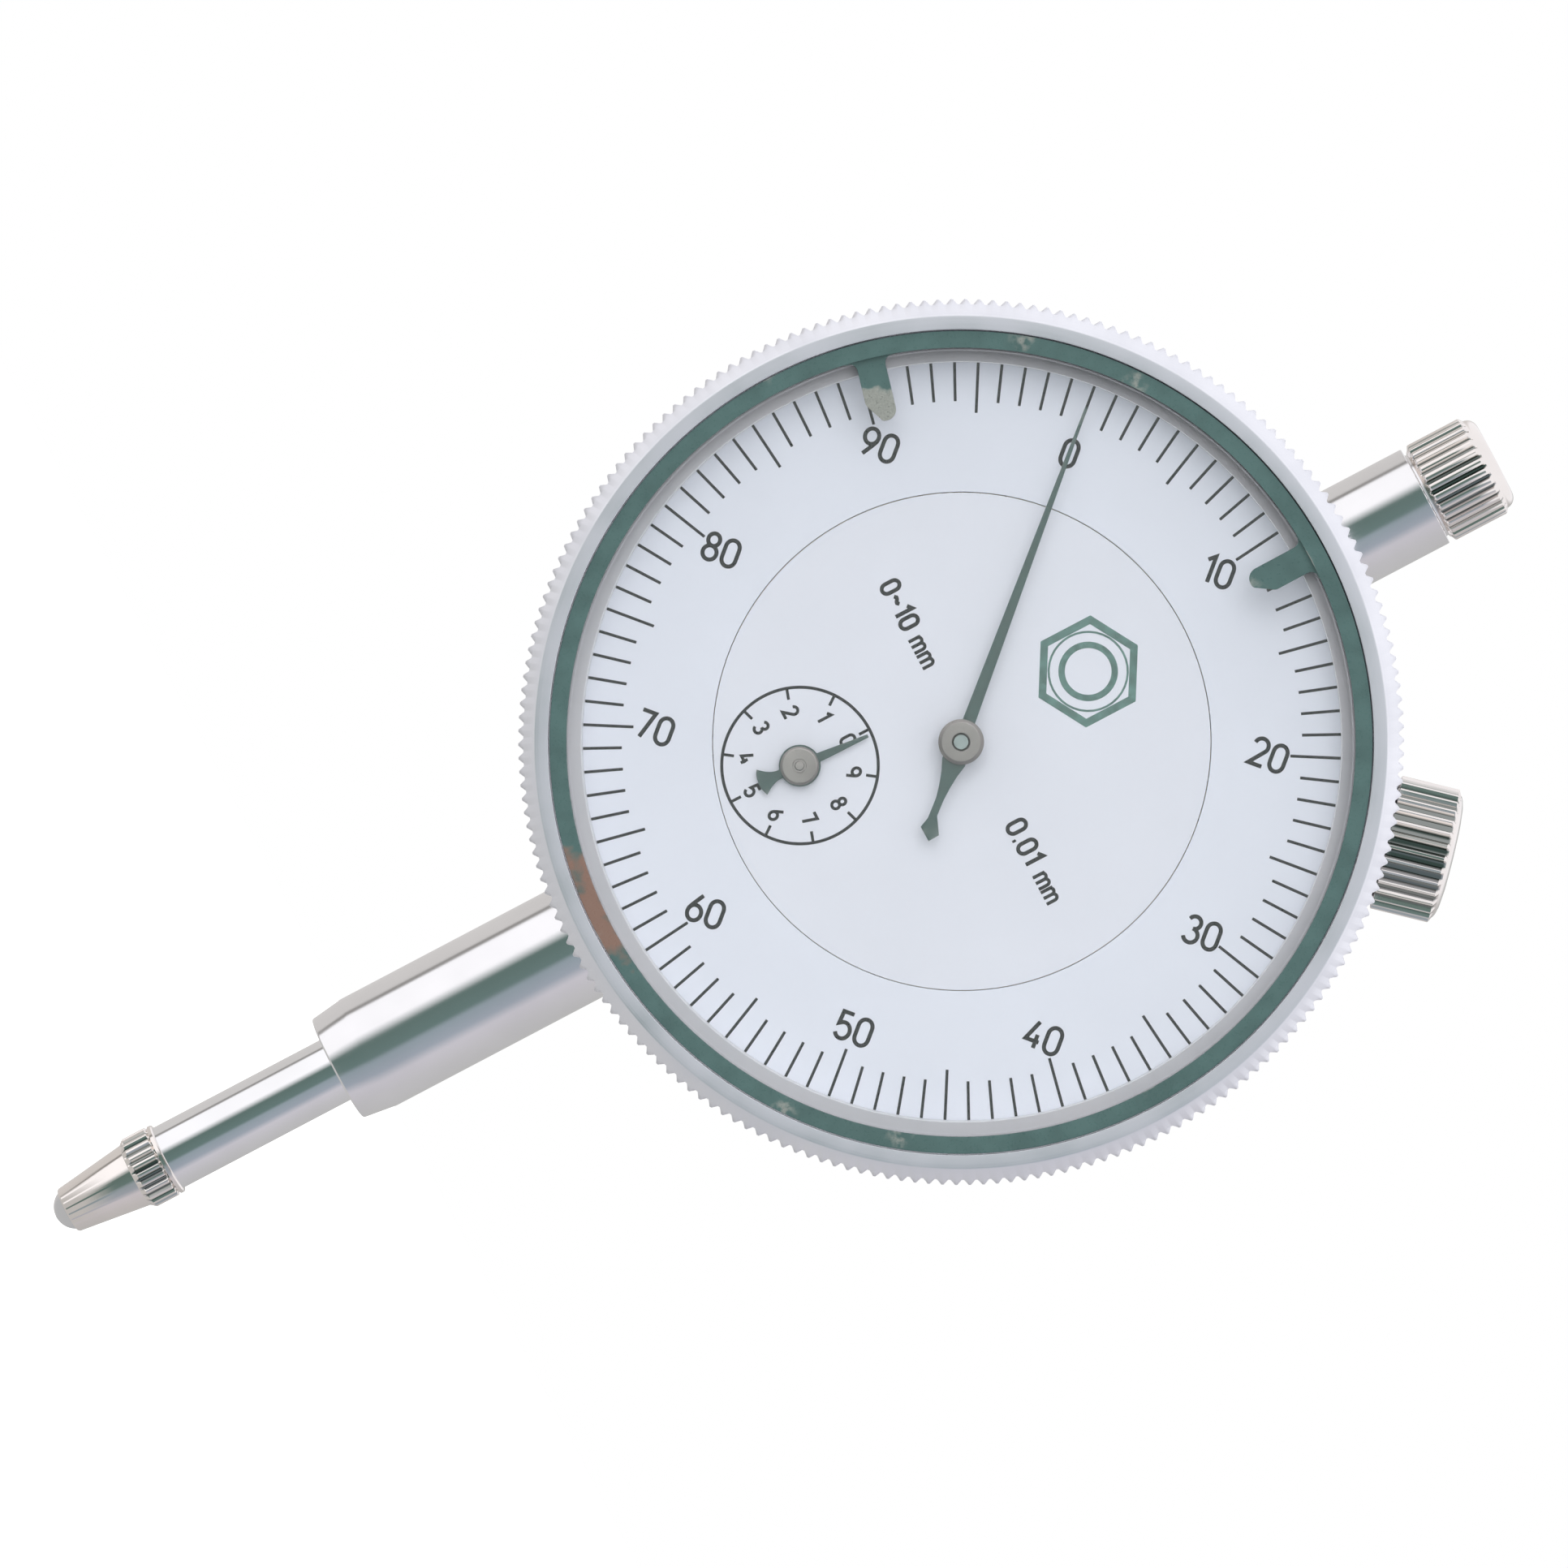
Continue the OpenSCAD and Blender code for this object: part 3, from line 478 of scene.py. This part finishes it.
def enamel(name, colour):
    """Printed dial face: fine-grained lacquer with a faint unevenness in its tone."""
    rough = 0.42
    material, tree, shader = principled(name, {"Specular IOR Level": 0.35})
    even = grain(tree, "even")
    specks = noise(tree, even, 9.0, 2.0)
    cloud = noise(tree, even, 0.09, 3.0)
    clouded = ranged(tree, cloud, (0.3, 0.7), (0, 1))
    tone = blended(tree, clouded, shade(colour, 1), shade(colour, 0.965))
    tree.links.new(tone, shader.inputs["Base Color"])
    gloss = ranged(tree, specks, (0.3, 0.7), (rough * 0.9, rough * 1.15))
    tree.links.new(gloss, shader.inputs["Roughness"])
    roughen(tree, shader, specks, 0.0006)
    return material


def ink(name, colour):
    """Pad-printed ink: slightly uneven in density, duller than the lacquer."""
    material, tree, shader = principled(name, {"Specular IOR Level": 0.12})
    even = grain(tree, "even")
    density = noise(tree, even, 2.5, 3.0)
    thinned = ranged(tree, density, (0.35, 0.7), (0, 1))
    tone = blended(tree, thinned, shade(colour, 0.9), shade(colour, 1.5))
    tree.links.new(tone, shader.inputs["Base Color"])
    tree.links.new(ranged(tree, density, (0.3, 0.7), (0.4, 0.6)), shader.inputs["Roughness"])
    return material


def acrylic(name):
    """Clear moulded crystal, with hairline handling scratches in its gloss."""
    material, tree, shader = principled(name, {
        "Base Color": (0.985, 0.99, 0.995, 1), "Transmission Weight": 1.0, "IOR": 1.49,
    })
    hairs = noise(tree, grain(tree, "drawn"), 1.2, 4.0)
    tree.links.new(ranged(tree, hairs, (0.55, 0.8), (0.0, 0.06)), shader.inputs["Roughness"])
    return material


def frosted(name):
    """Ground rim of the crystal, through which the dial shows faintly."""
    material, tree, shader = principled(name, {"Alpha": 0.8, "Specular IOR Level": 0.3})
    even = grain(tree, "even")
    frost = noise(tree, even, 6.0, 3.0)
    cloud = noise(tree, even, 0.12, 2.0)
    tone = blended(tree, cloud, (*srgb(222, 224, 228), 1), (*srgb(234, 233, 236), 1))
    tree.links.new(tone, shader.inputs["Base Color"])
    tree.links.new(ranged(tree, frost, (0.3, 0.7), (0.3, 0.5)), shader.inputs["Roughness"])
    roughen(tree, shader, frost, 0.002)
    return material


def rubber(name):
    """Black moulded rubber with a dull, uneven skin."""
    material, tree, shader = principled(name, {"Specular IOR Level": 0.35})
    cloud = noise(tree, grain(tree, "even"), 3.0, 3.0)
    tone = blended(tree, cloud, (0.012, 0.012, 0.013, 1), (0.03, 0.03, 0.031, 1))
    tree.links.new(tone, shader.inputs["Base Color"])
    tree.links.new(ranged(tree, cloud, (0.3, 0.7), (0.6, 0.8)), shader.inputs["Roughness"])
    roughen(tree, shader, cloud, 0.004)
    return material


def ruby(name):
    """Polished bearing jewel, deep red and partly clear."""
    material, tree, shader = principled(name, {"Transmission Weight": 0.35, "IOR": 1.76})
    cloud = noise(tree, grain(tree, "even"), 2.0, 2.0)
    tone = blended(tree, cloud, (0.45, 0.01, 0.04, 1), (0.65, 0.03, 0.08, 1))
    tree.links.new(tone, shader.inputs["Base Color"])
    tree.links.new(ranged(tree, cloud, (0.3, 0.7), (0.04, 0.1)), shader.inputs["Roughness"])
    return material


TEAL = srgb(78, 105, 103)
POINTER_TEAL = srgb(46, 76, 71)
# Brown of the patch on the ring's face
BROWN_PATCH = srgb(140, 104, 90)
NICKEL = (0.92, 0.87, 0.83)

# Slot, then colour, roughness, lay, lines in a millimetre, relief in millimetres and smudge
METALS = {
    "satin_case": ((0.74, 0.75, 0.77), 0.4, "even", 5.0, 0.0012),
    "satin_bezel": ((0.94, 0.945, 0.985), 0.56, "dial", 9.0, 0.0006, 0.03),
    "stem_chrome": ((0.9, 0.895, 0.9), 0.13, "drawn", 4.0, 0.0005, 0.05),
    "spindle_steel": ((0.9, 0.9, 0.905), 0.11, "drawn", 6.0, 0.0003, 0.05),
    "ball_steel": ((0.78, 0.78, 0.79), 0.06, "even", 8.0, 0.0001, 0.04),
    "bronze_bush": ((0.55, 0.39, 0.2), 0.3, "turned", 8.0, 0.001, 0.2),
    "brass_plate": ((0.72, 0.53, 0.24), 0.3, "even", 6.0, 0.001, 0.15),
    "brass_wheel": ((0.78, 0.6, 0.29), 0.24, "dial", 8.0, 0.0008, 0.12),
    "screw_steel": ((0.62, 0.63, 0.65), 0.2, "even", 8.0, 0.0006, 0.1),
    "arbor_steel": ((0.2, 0.235, 0.23), 0.16, "even", 8.0, 0.0004, 0.08),
    "spring_steel": ((0.48, 0.49, 0.51), 0.24, "even", 8.0, 0.0005, 0.12),
    "hairspring_steel": ((0.09, 0.15, 0.33), 0.18, "even", 8.0, 0.0003, 0.25),
    "hub_nickel": ((0.3, 0.28, 0.265), 0.34, "even", 7.0, 0.003, 0.35),
    "shoe_steel": ((0.5, 0.5, 0.52), 0.32, "drawn", 6.0, 0.0012, 0.12),
}

LOOKS = {
    **{slot: metal(slot, *look) for slot, look in METALS.items()},
    # The knurls of the nickel parts get painted shade in their valleys
    "nickel": metal("nickel", NICKEL, 0.1, "even", 5.0, 0.0006, 0.08, valley_shade=(0.1, 0.135, 0.125)),
    "jewel": ruby("jewel"),
    "dial_inner_white": enamel("dial_inner_white", srgb(226, 228, 236)),
    "dial_ring_white": enamel("dial_ring_white", srgb(226, 229, 238)),
    "gasket_rubber": rubber("gasket_rubber"),
    "pointer_teal": paint("pointer_teal", POINTER_TEAL, 0.35),
    "crystal_acrylic": acrylic("crystal_acrylic"),
    "ring_teal": paint("ring_teal", TEAL, 0.3, brown_patch_at=(-1.7, -26.3)),
    "marker_teal": paint("marker_teal", TEAL, 0.32),
}
WORN_MARKER = paint("marker_teal_worn", TEAL, 0.32, bare_inside=23.6)
RIM_FROST = frosted("crystal_rim")
BLACK_INK = ink("ink_black", (0.004, 0.0045, 0.005))
TEAL_INK = ink("ink_teal", srgb(84, 116, 109))

for row in RECORD["subparts"]:
    for held in frame["nodes"][row["node"]].material_slots:
        held.material = LOOKS[row["material_slot"]]


# ---- Turned pieces ----

# Columns round the large and the small turned pieces
FINE = plain_columns(256)
ROUND = plain_columns(128)
SMALL = plain_columns(96)

# Radii shared by the dial's pieces: the bezel's seat on the case, its window and the crystal
SEAT_R = 26.58
WINDOW_R = 27
GLASS_R = 26.85

# Radii shared along the spindle: the bore of stem, tube and cap, and the seat of the bushes
BORE_R = 2.6
BUSH_R = 3.11


def finish_bezel():
    """Knurled ring that carries the dial ring and the crystal, and turns on the case."""
    low, high = levels("bezel")
    tip_r = 29
    root_r = 28.65
    tooth = tip_r - root_r
    ledge_r = 25.2
    ledge = 8.1, 9
    neck_top = 7.1
    skirt_r = 27.6
    groove_r = 27.1
    groove = 6.15, 7.05
    profile = [
        *soften([(ledge_r, ledge[0]), (ledge_r, ledge[1]), (WINDOW_R, ledge[1])], 0.05, closed=False),
        *soften([
            (WINDOW_R, 9.5), (WINDOW_R, high), (27.9, high - 0.06), (root_r, high - 0.63),
        ], 0.07, closed=False),
        (tip_r - 0.03, high - 0.88, tooth * 0.93), (tip_r, high - 0.96, tooth),
        (tip_r, neck_top + 0.45, tooth), (tip_r - 0.05, neck_top + 0.36, tooth * 0.88), (root_r, neck_top),
        *soften([
            (28.5, neck_top), (skirt_r, neck_top), (skirt_r, low), (SEAT_R, low), (SEAT_R, groove[0]),
        ], 0.12, closed=False),
        (groove_r, groove[0]), (groove_r, groove[1]), (SEAT_R, groove[1]), (SEAT_R, ledge[0]),
    ]
    teeth = toothed_columns(202, ((0, 0), (0.16, 0), (0.5, 1), (0.66, 1)))
    stand_in("bezel", lathe(profile, teeth), DIAL)


def finish_dial_ring():
    """Printed ring that turns with the bezel."""
    inner = 16.4
    outer = 26.9
    profile = soften([(inner, RING_BACK), (outer, RING_BACK), (outer, RING_FACE), (inner, RING_FACE)], 0.06)
    stand_in("dial_ring", lathe(profile, FINE), DIAL)


def finish_retaining_ring():
    """Dark ring that holds the crystal in the bezel."""
    low, high = levels("retaining_ring")
    inner = 25.8
    outer = 26.92
    profile = soften([(inner, low), (outer, low), (outer, high), (inner, high)], 0.07)
    stand_in("retaining_ring", lathe(profile, FINE), DIAL)


def finish_crystal():
    """Clear crystal with a flange, and the ground rim under it."""
    top = levels("crystal")[1]
    under = top - 1.2
    flange = top - 0.5
    face_r = 25.68
    profile = [(0, under), *soften([
        (GLASS_R, under), (GLASS_R, flange), (face_r, flange), (face_r, top), (20, top),
    ], 0.14, closed=False), (0, top)]
    clear = stand_in("crystal", lathe(profile, FINE), DIAL)
    rim_r = 24.9
    foot = RING_FACE + 0.02
    rim = soften([(rim_r, foot), (GLASS_R, foot), (GLASS_R, under), (rim_r, under)], 0.05)
    ground = piece("crystal_rim", lathe(rim, FINE), DIAL, "bezel", RIM_FROST)
    for glass in (clear, ground):
        glass.visible_shadow = False


def finish_stem():
    """Clamping stem with a coned end and a neck that sits in the case."""
    low, high = heights("stem")
    outer = 4
    cone = 2.3
    neck_r = 3.4
    neck_from = 8
    bush_top = -2
    profile = soften([
        (BUSH_R, low), (3.7, low), (outer, low + cone), (outer, neck_from), (neck_r, neck_from),
        (neck_r, high), (BORE_R, high), (BORE_R, bush_top), (BUSH_R, bush_top),
    ], 0.14)
    stand_in("stem", lathe(profile, ROUND), STEM)


def finish_top_tube():
    """Tube over the spindle's upper end, stepped down where the dust cap screws on."""
    low, high = heights("top_tube")
    outer = 3.5
    thread_r = 3
    shoulder = high - 2.9
    bush_top = low + 6
    profile = soften([
        (BUSH_R, low), (outer, low), (outer, shoulder), (thread_r, shoulder), (thread_r, high),
        (BORE_R, high), (BORE_R, bush_top), (BUSH_R, bush_top),
    ], 0.1)
    stand_in("top_tube", lathe(profile, ROUND), STEM)


def finish_dust_cap():
    """Knurled cap with a domed crown, hollow below it."""
    low, high = heights("dust_cap")
    tip_r = 3.5
    tooth = 0.26
    dome = 0.75
    crown = 0.65
    thread_r = 3.02
    thread_top = low + 2.9
    profile = [
        (thread_r, low), (3.1, low), (tip_r - tooth, low + 0.13), (tip_r - 0.05, low + 0.24, tooth - 0.05),
        (tip_r, low + 0.32, tooth), (tip_r, high - 0.98, tooth), (tip_r - 0.05, high - 0.88, tooth - 0.05),
        (tip_r - tooth + 0.02, high - 0.72),
        *arc((tip_r - tooth - dome, high - dome), (dome, dome), 5, 80, 9),
        (1.6, high - 0.01), (0, high), (0, high - crown), (BORE_R, high - crown),
        (BORE_R, thread_top), (thread_r, thread_top),
    ]
    ridge = [(0, 0.1), (0.1, -0.08), (0.28, -0.16), (0.46, -0.08), (0.56, 0.1), (0.7, 0.95), (0.86, 0.95)]
    stand_in("dust_cap", lathe(profile, toothed_columns(29, ridge)), STEM)


def finish_clamp_screw():
    """Knurled head of the bezel clamp on its plain shank."""
    shank_r = 1.5
    shank_end = 22.6
    tip_r = 4.5
    tooth = 0.34
    low = 28.7
    high = 33.4
    profile = [
        (0, shank_end), (shank_r - 0.15, shank_end), (shank_r, shank_end + 0.15), (shank_r, low),
        (3.9, low), (4.02, low + 0.03), (tip_r - tooth, low + 0.08),
        (tip_r - 0.06, low + 0.14, tooth - 0.06), (tip_r, low + 0.2, tooth),
        (tip_r, high - 0.66, tooth), (tip_r - 0.05, high - 0.6, tooth - 0.05),
        (tip_r - tooth, high - 0.44), (4.1, high - 0.38), (3.9, high - 0.27), (3.4, high - 0.14),
        (2.4, high - 0.04), (1.2, high), (0, high),
    ]
    ridge = [(0, 0), (0.05, -0.1), (0.2, -0.1), (0.25, 0), (0.42, 0.9), (0.6, 1), (0.82, 0.9)]
    stand_in("clamp_screw", lathe(profile, toothed_columns(32, ridge)), CLAMP)


def finish_contact_point():
    """Tapered point with a knurled collar and the screw that holds it in the spindle."""
    low, high = heights("contact_point")
    top = high - 5
    collar = top - 2.3
    collar_r = 2.5
    tooth = 0.2
    screw_r = 1.25
    profile = [
        (0, low), (1.42, low), (1.5, low + 0.03), (1.59, low + 0.14), (2.24, collar - 0.22),
        (2.3, collar - 0.16), (2.46, collar + 0.06, tooth - 0.04), (collar_r, collar + 0.14, tooth),
        (collar_r, top - 0.55, tooth), (2.46, top - 0.5, tooth - 0.06), (2.34, top - 0.42),
        (2.38, top - 0.4), (2.49, top - 0.33), (collar_r, top - 0.27), (2.49, top - 0.1),
        (2.42, top - 0.03), (2.3, top), (screw_r, top), (screw_r, high), (0, high),
    ]
    ridge = [(0, 0), (0.1, -0.15), (0.3, -0.15), (0.4, 0), (0.62, 1), (0.8, 1)]
    stand_in("contact_point", lathe(profile, toothed_columns(24, ridge)), STEM)


def finish_contact_ball():
    """Ball pressed into the end of the contact point."""
    low, high = heights("contact_ball")
    r = (high - low) / 2
    steps = 40
    half_circle = arc((0, low + r), (r, r), -90, 90, steps)
    profile = [(abs(x) if 0 < i < steps else 0, z) for i, (x, z) in enumerate(half_circle)]
    stand_in("contact_ball", lathe(profile, plain_columns(80)), STEM)


# ---- Pointers and markers ----


def mirrored(right_side):
    """Closed outline from its right side, listed from top to bottom."""
    return list(right_side) + [(-x, y) for x, y in reversed(right_side) if abs(x) > 1e-9]


def finish_main_pointer():
    """Blade of the main pointer, with a slanted tip at its tail."""
    low, high = levels("main_pointer")
    blade = [(0.09, 23.4), (0.2, 16), (0.43, 1.2), (0.8, -1.4), (0.55, -2.2), (0.37, -3.1), (0.26, -4)]
    tail = [(0.22, -5.1), (0.78, -6.25), (0.28, -6.85), (-0.54, -6.15), (-0.3, -5.45)]
    bm = bmesh.new()
    plate(bm, blade + tail + [(-x, y) for x, y in reversed(blade)], low, high, 0.03)
    stand_in("main_pointer", bm, RING)


def finish_small_pointer():
    """Blade of the revolution counter's pointer, round at its hub and splayed at its tail."""
    low, high = levels("small_pointer")
    eye = 1.38
    meet = math.degrees(math.acos(0.3 / eye))
    right = [
        (0.11, 4.9), (0.29, 1.6), *arc((0, 0), (eye, eye), meet, -meet, 12), (0.3, -1.6), (0.38, -1.9),
        (0.55, -2.25), (0.9, -2.72), (0.6, -2.86), (0.3, -2.93), (0, -2.95),
    ]
    bm = bmesh.new()
    plate(bm, mirrored(right), low, high, 0.03)
    stand_in("small_pointer", bm, COUNTER_POINTER)


def finish_hubs():
    """Turned hubs that press the two pointers onto their arbors."""
    crease = 6
    low, high = levels("main_pointer_hub")
    blade_low, blade_high = levels("main_pointer")
    main = [
        (0.48, low), (1.2, low), (1.2, blade_low), (0.8, blade_low), (0.8, blade_high), (1.47, blade_high),
        (1.5, blade_high + 0.03), (1.5, high - 0.13), (1.48, high - 0.1), (1.3, high - 0.01), (1.26, high),
        (0.62, high), (0.58, high - 0.02), (0.5, high - 0.1), (0.48, high - 0.12),
    ]
    stand_in("main_pointer_hub", lathe(main, SMALL), DIAL, crease=crease)
    low, high = levels("small_pointer_hub")
    blade_low, blade_high = levels("small_pointer")
    face = high + 0.13
    small = [
        (0.51, low), (1, low), (1, blade_low), (0.7, blade_low), (0.7, blade_high), (1.25, blade_high),
        (1.27, blade_high + 0.02), (1.27, face - 0.1), (1.25, face - 0.07), (1.15, face - 0.01), (1.1, face),
        (0.46, face), (0.43, face - 0.02), (0.42, face - 0.012), (0.32, face - 0.012), (0.3, face + 0.01),
        (0.29, face + 0.06), (0.26, face + 0.07), (0, face + 0.075), (0, face - 0.2), (0.51, face - 0.2),
    ]
    stand_in("small_pointer_hub", lathe(small, SMALL), COUNTER, crease=crease)


def finish_limit_marker(name, clockwise, far_side, material):
    """Tab with one rounded and one cut-off corner, its root filleted into the retaining ring.

    It stands at an angle clockwise from the top. far_side is -1 for the mirrored tab."""
    low, high = levels(name)
    half = 0.94
    tip = 21.6
    root = 25.74
    spread = 3.6
    back = 26.8
    tab_under = high - 0.22
    foot_outer, foot_inner = 26.75, 25.85
    tab = [
        (half, root - 0.55), (half, tip + 1.35), (half - 0.07, tip + 1.18), (0.14, tip + 0.1),
        (0.02, tip + 0.02), (-0.2, tip), *arc((-0.2, tip + 0.74), (0.74, 0.74), 270, 180, 8)[1:],
        (-half, root - 0.55),
    ]
    fillet = [(half + 0.03, root - 0.36), (half + 0.12, root - 0.18), (half + 0.28, root - 0.06)]
    right_foot = [polar(root, a) for a in (3.0, spread)]
    over = [polar(back, a) for a in (spread, spread / 2, 0, -spread / 2, -spread)]
    left_foot = [polar(root, a) for a in (-spread, -3.0)]
    outline = (
        right_foot[::-1] + fillet[::-1] + tab + [(-x, y) for x, y in fillet] + left_foot[::-1] + over[::-1]
    )
    bm = bmesh.new()
    plate(bm, [(far_side * x, y) for x, y in outline], tab_under, high, 0.035)
    foot = [polar(foot_outer, a) for a in (-3.5, -1.7, 0, 1.7, 3.5)]
    foot += [polar(foot_inner, a) for a in (3.5, 0, -3.5)]
    plate(bm, foot, low, tab_under - 0.01, 0.02)
    place = DIAL @ Matrix.Rotation(math.radians(-clockwise), 4, "Z")
    stand_in(name, bm, place, material)


# ---- Printing ----


def print_ring():
    """Hundred divisions and the numbers of the turning ring."""
    outer = 25.6
    short, long = 22.35, 21.6
    line = 0.19
    bm = bmesh.new()
    for i in range(100):
        inner = long if i % 5 == 0 else short
        ends = [polar(inner, 3.6 * i), polar(outer, 3.6 * i)]
        stroke(bm, ends, line, RING_FACE, RING_FACE + INK)
    for tens in range(10):
        write(bm, str(10 * tens), polar(20.2, 36 * tens), 2.05, 0.27, 0.4, RING_FACE)
    piece("ring_print", bm, RING, "bezel", BLACK_INK)


def print_counter():
    """Circle, divisions and digits of the revolution counter, which reads counter-clockwise."""
    radius = 5.15
    line = 0.19
    # What lies across the circle is printed a little lower, so that no two faces coincide
    under = DISC_FACE + INK - 0.001
    bm = bmesh.new()
    circle = [polar(radius, 3 * i) for i in range(120)]
    stroke(bm, circle, 0.2, DISC_FACE, DISC_FACE + INK, closed=True)
    for i in range(10):
        ends = [polar(radius - 0.05, -36 * i), polar(radius - 0.76, -36 * i)]
        stroke(bm, ends, line, DISC_FACE, under)
        write(bm, str(i), polar(3.56, -36 * i), 1.18, 0.2, 0, DISC_FACE)
    piece("counter_print", bm, COUNTER, "body", BLACK_INK)


def print_disc():
    """Range and graduation on the fixed disc."""
    # Text, place, height, thickness of the strokes, gap
    legends = [
        ("0~10", (-9.85, 0.6), 1.5, 0.26, 0.34),
        ("mm", (-6.4, 0.6), 1.5, 0.22, 0.3),
        ("0.01", (7.75, 0.6), 1.55, 0.26, 0.34),
        ("mm", (11.1, 0.6), 1.5, 0.22, 0.26),
    ]
    bm = bmesh.new()
    for legend in legends:
        write(bm, *legend, DISC_FACE)
    piece("disc_print", bm, DIAL, "body", BLACK_INK)


def print_emblem():
    """A plain hexagon nut: its corners, its thread and its chamfer."""
    centre = Vector((-0.2, 9.5))
    # Radius, corners, thickness of the line, how far the ink is from its full height
    rings = [(3.4, 6, 0.5, 0), (1.75, 36, 0.42, 0), (2.6, 36, 0.14, 0.001)]
    bm = bmesh.new()
    for radius, corners, line, lower in rings:
        loop = [centre + Vector(polar(radius, 360 / corners * i)) for i in range(corners)]
        stroke(bm, loop, line, DISC_FACE, DISC_FACE + INK - lower, closed=True)
    piece("disc_emblem", bm, DIAL, "body", TEAL_INK)


finish_bezel()
finish_dial_ring()
finish_retaining_ring()
finish_crystal()
finish_stem()
finish_top_tube()
finish_dust_cap()
finish_clamp_screw()
finish_contact_point()
finish_contact_ball()
finish_main_pointer()
finish_small_pointer()
finish_hubs()
finish_limit_marker("limit_marker_left", -75.6, -1, WORN_MARKER)
finish_limit_marker("limit_marker_right", -0.4, 1, LOOKS["marker_teal"])
print_ring()
print_counter()
print_disc()
print_emblem()


# ---- Studio ----


def paint_studio():
    """Plain white light and backdrop. Only reflections show the studio's walls instead:
    a bright wall to the left, a dark gap in front, a pale ceiling and floor."""
    world = bpy.data.worlds.new("studio")
    SCENE.world = world
    world.use_nodes = True
    tree = world.node_tree
    tree.nodes.clear()
    toward = node(tree, "ShaderNodeTexCoord").outputs["Generated"]
    split = node(tree, "ShaderNodeSeparateXYZ", {0: toward})
    front = maths(tree, "MULTIPLY", split.outputs["Y"], -1.0)
    azimuth = maths(tree, "ARCTAN2", split.outputs["X"], front)
    share = ranged(tree, azimuth, (-math.pi, math.pi), (0, 1))
    ramp = node(tree, "ShaderNodeValToRGB", {0: share})
    # Direction in degrees from -Y, the dial's front, towards +X, and the wall's colour there
    walls = [
        (-180, (0.68, 0.66, 0.65)), (-102, (0.66, 0.64, 0.63)), (-99, (0.3, 0.29, 0.28)),
        (-93, (0.3, 0.29, 0.28)), (-88, (1.1, 1.09, 1.12)), (-38, (1.1, 1.09, 1.12)),
        (-19, (0.12, 0.18, 0.165)), (12, (0.14, 0.21, 0.2)), (20, (0.3, 0.36, 0.4)),
        (44, (0.36, 0.4, 0.46)), (62, (0.62, 0.6, 0.65)), (96, (0.57, 0.56, 0.58)), (180, (0.5, 0.5, 0.49)),
    ]
    stops = ramp.color_ramp.elements
    while len(stops) < len(walls):
        stops.new(0.5)
    for stop, (degrees, colour) in zip(stops, walls):
        stop.position = (degrees + 180) / 360
        stop.color = (*colour, 1)
    height = split.outputs["Z"]
    ceiling = ranged(tree, height, (0.16, 0.36), (0, 1))
    floor_glow = ranged(tree, height, (-0.5, -0.7), (0, 1))
    upper = blended(tree, ceiling, ramp.outputs["Color"], (0.98, 0.98, 1.02, 1))
    whole = blended(tree, floor_glow, upper, (0.58, 0.575, 0.57, 1))
    rays = node(tree, "ShaderNodeLightPath").outputs
    glow = ranged(tree, rays["Is Camera Ray"], (0, 1), (0.95, 1))
    plain = node(tree, "ShaderNodeBackground", {"Color": (1, 1, 1, 1), "Strength": glow}).outputs[0]
    walled = node(tree, "ShaderNodeBackground", {"Color": whole, "Strength": 1.0}).outputs[0]
    either = node(tree, "ShaderNodeMixShader", {0: rays["Is Glossy Ray"], 1: plain, 2: walled}).outputs[0]
    node(tree, "ShaderNodeOutputWorld", {"Surface": either})


def hang_lamp():
    """Broad soft lamp in front, to the upper left. It lights the dial and isn't reflected."""
    lamp = bpy.data.lights.new("front_lamp", "SUN")
    lamp.energy = 0.95
    lamp.angle = math.radians(50)
    obj = bpy.data.objects.new("front_lamp", lamp)
    obj.rotation_euler = Vector((-0.24, -0.94, 0.22)).to_track_quat("Z", "Y").to_euler()
    obj.visible_glossy = False
    SCENE.collection.objects.link(obj)


def lay_floor():
    """Plain pale floor far below, seen by the camera and left out of the reflections."""
    half_size = 3
    depth = 0.25
    bm = bmesh.new()
    bmesh.ops.create_grid(bm, x_segments=1, y_segments=1, size=half_size)
    mesh = bpy.data.meshes.new("floor")
    bm.to_mesh(mesh)
    bm.free()
    material, tree, shader = principled("floor_pale", {
        "Roughness": 0.9, "Emission Color": (1, 1, 1, 1), "Emission Strength": 0.5,
    })
    cloud = noise(tree, grain(tree, "even"), 0.002, 2.0)
    tone = blended(tree, cloud, (0.88, 0.88, 0.88, 1), (0.92, 0.92, 0.92, 1))
    tree.links.new(tone, shader.inputs["Base Color"])
    mesh.materials.append(material)
    floor = bpy.data.objects.new("floor", mesh)
    floor.location.z = -depth
    floor.visible_glossy = False
    floor.visible_diffuse = False
    floor.visible_transmission = False
    SCENE.collection.objects.link(floor)


def set_camera():
    """Well in front of the dial, rolled so that the spindle lies across the picture."""
    at = Vector((-6.26, -800, 55.18)) * MM
    aim = Vector((-2.964, -9.4, 24.348)) * MM
    roll = 62.229
    lens = bpy.data.cameras.new("camera")
    lens.lens = 276.17
    lens.sensor_width = 36
    lens.clip_start = 0.01
    lens.clip_end = 20
    camera = bpy.data.objects.new("camera", lens)
    upright = (aim - at).to_track_quat("-Z", "Y").to_matrix().to_4x4()
    camera.matrix_world = Matrix.Translation(at) @ upright @ Matrix.Rotation(math.radians(roll), 4, "Z")
    SCENE.collection.objects.link(camera)
    SCENE.camera = camera


paint_studio()
hang_lamp()
lay_floor()
set_camera()
SCENE.view_settings.view_transform = "Standard"
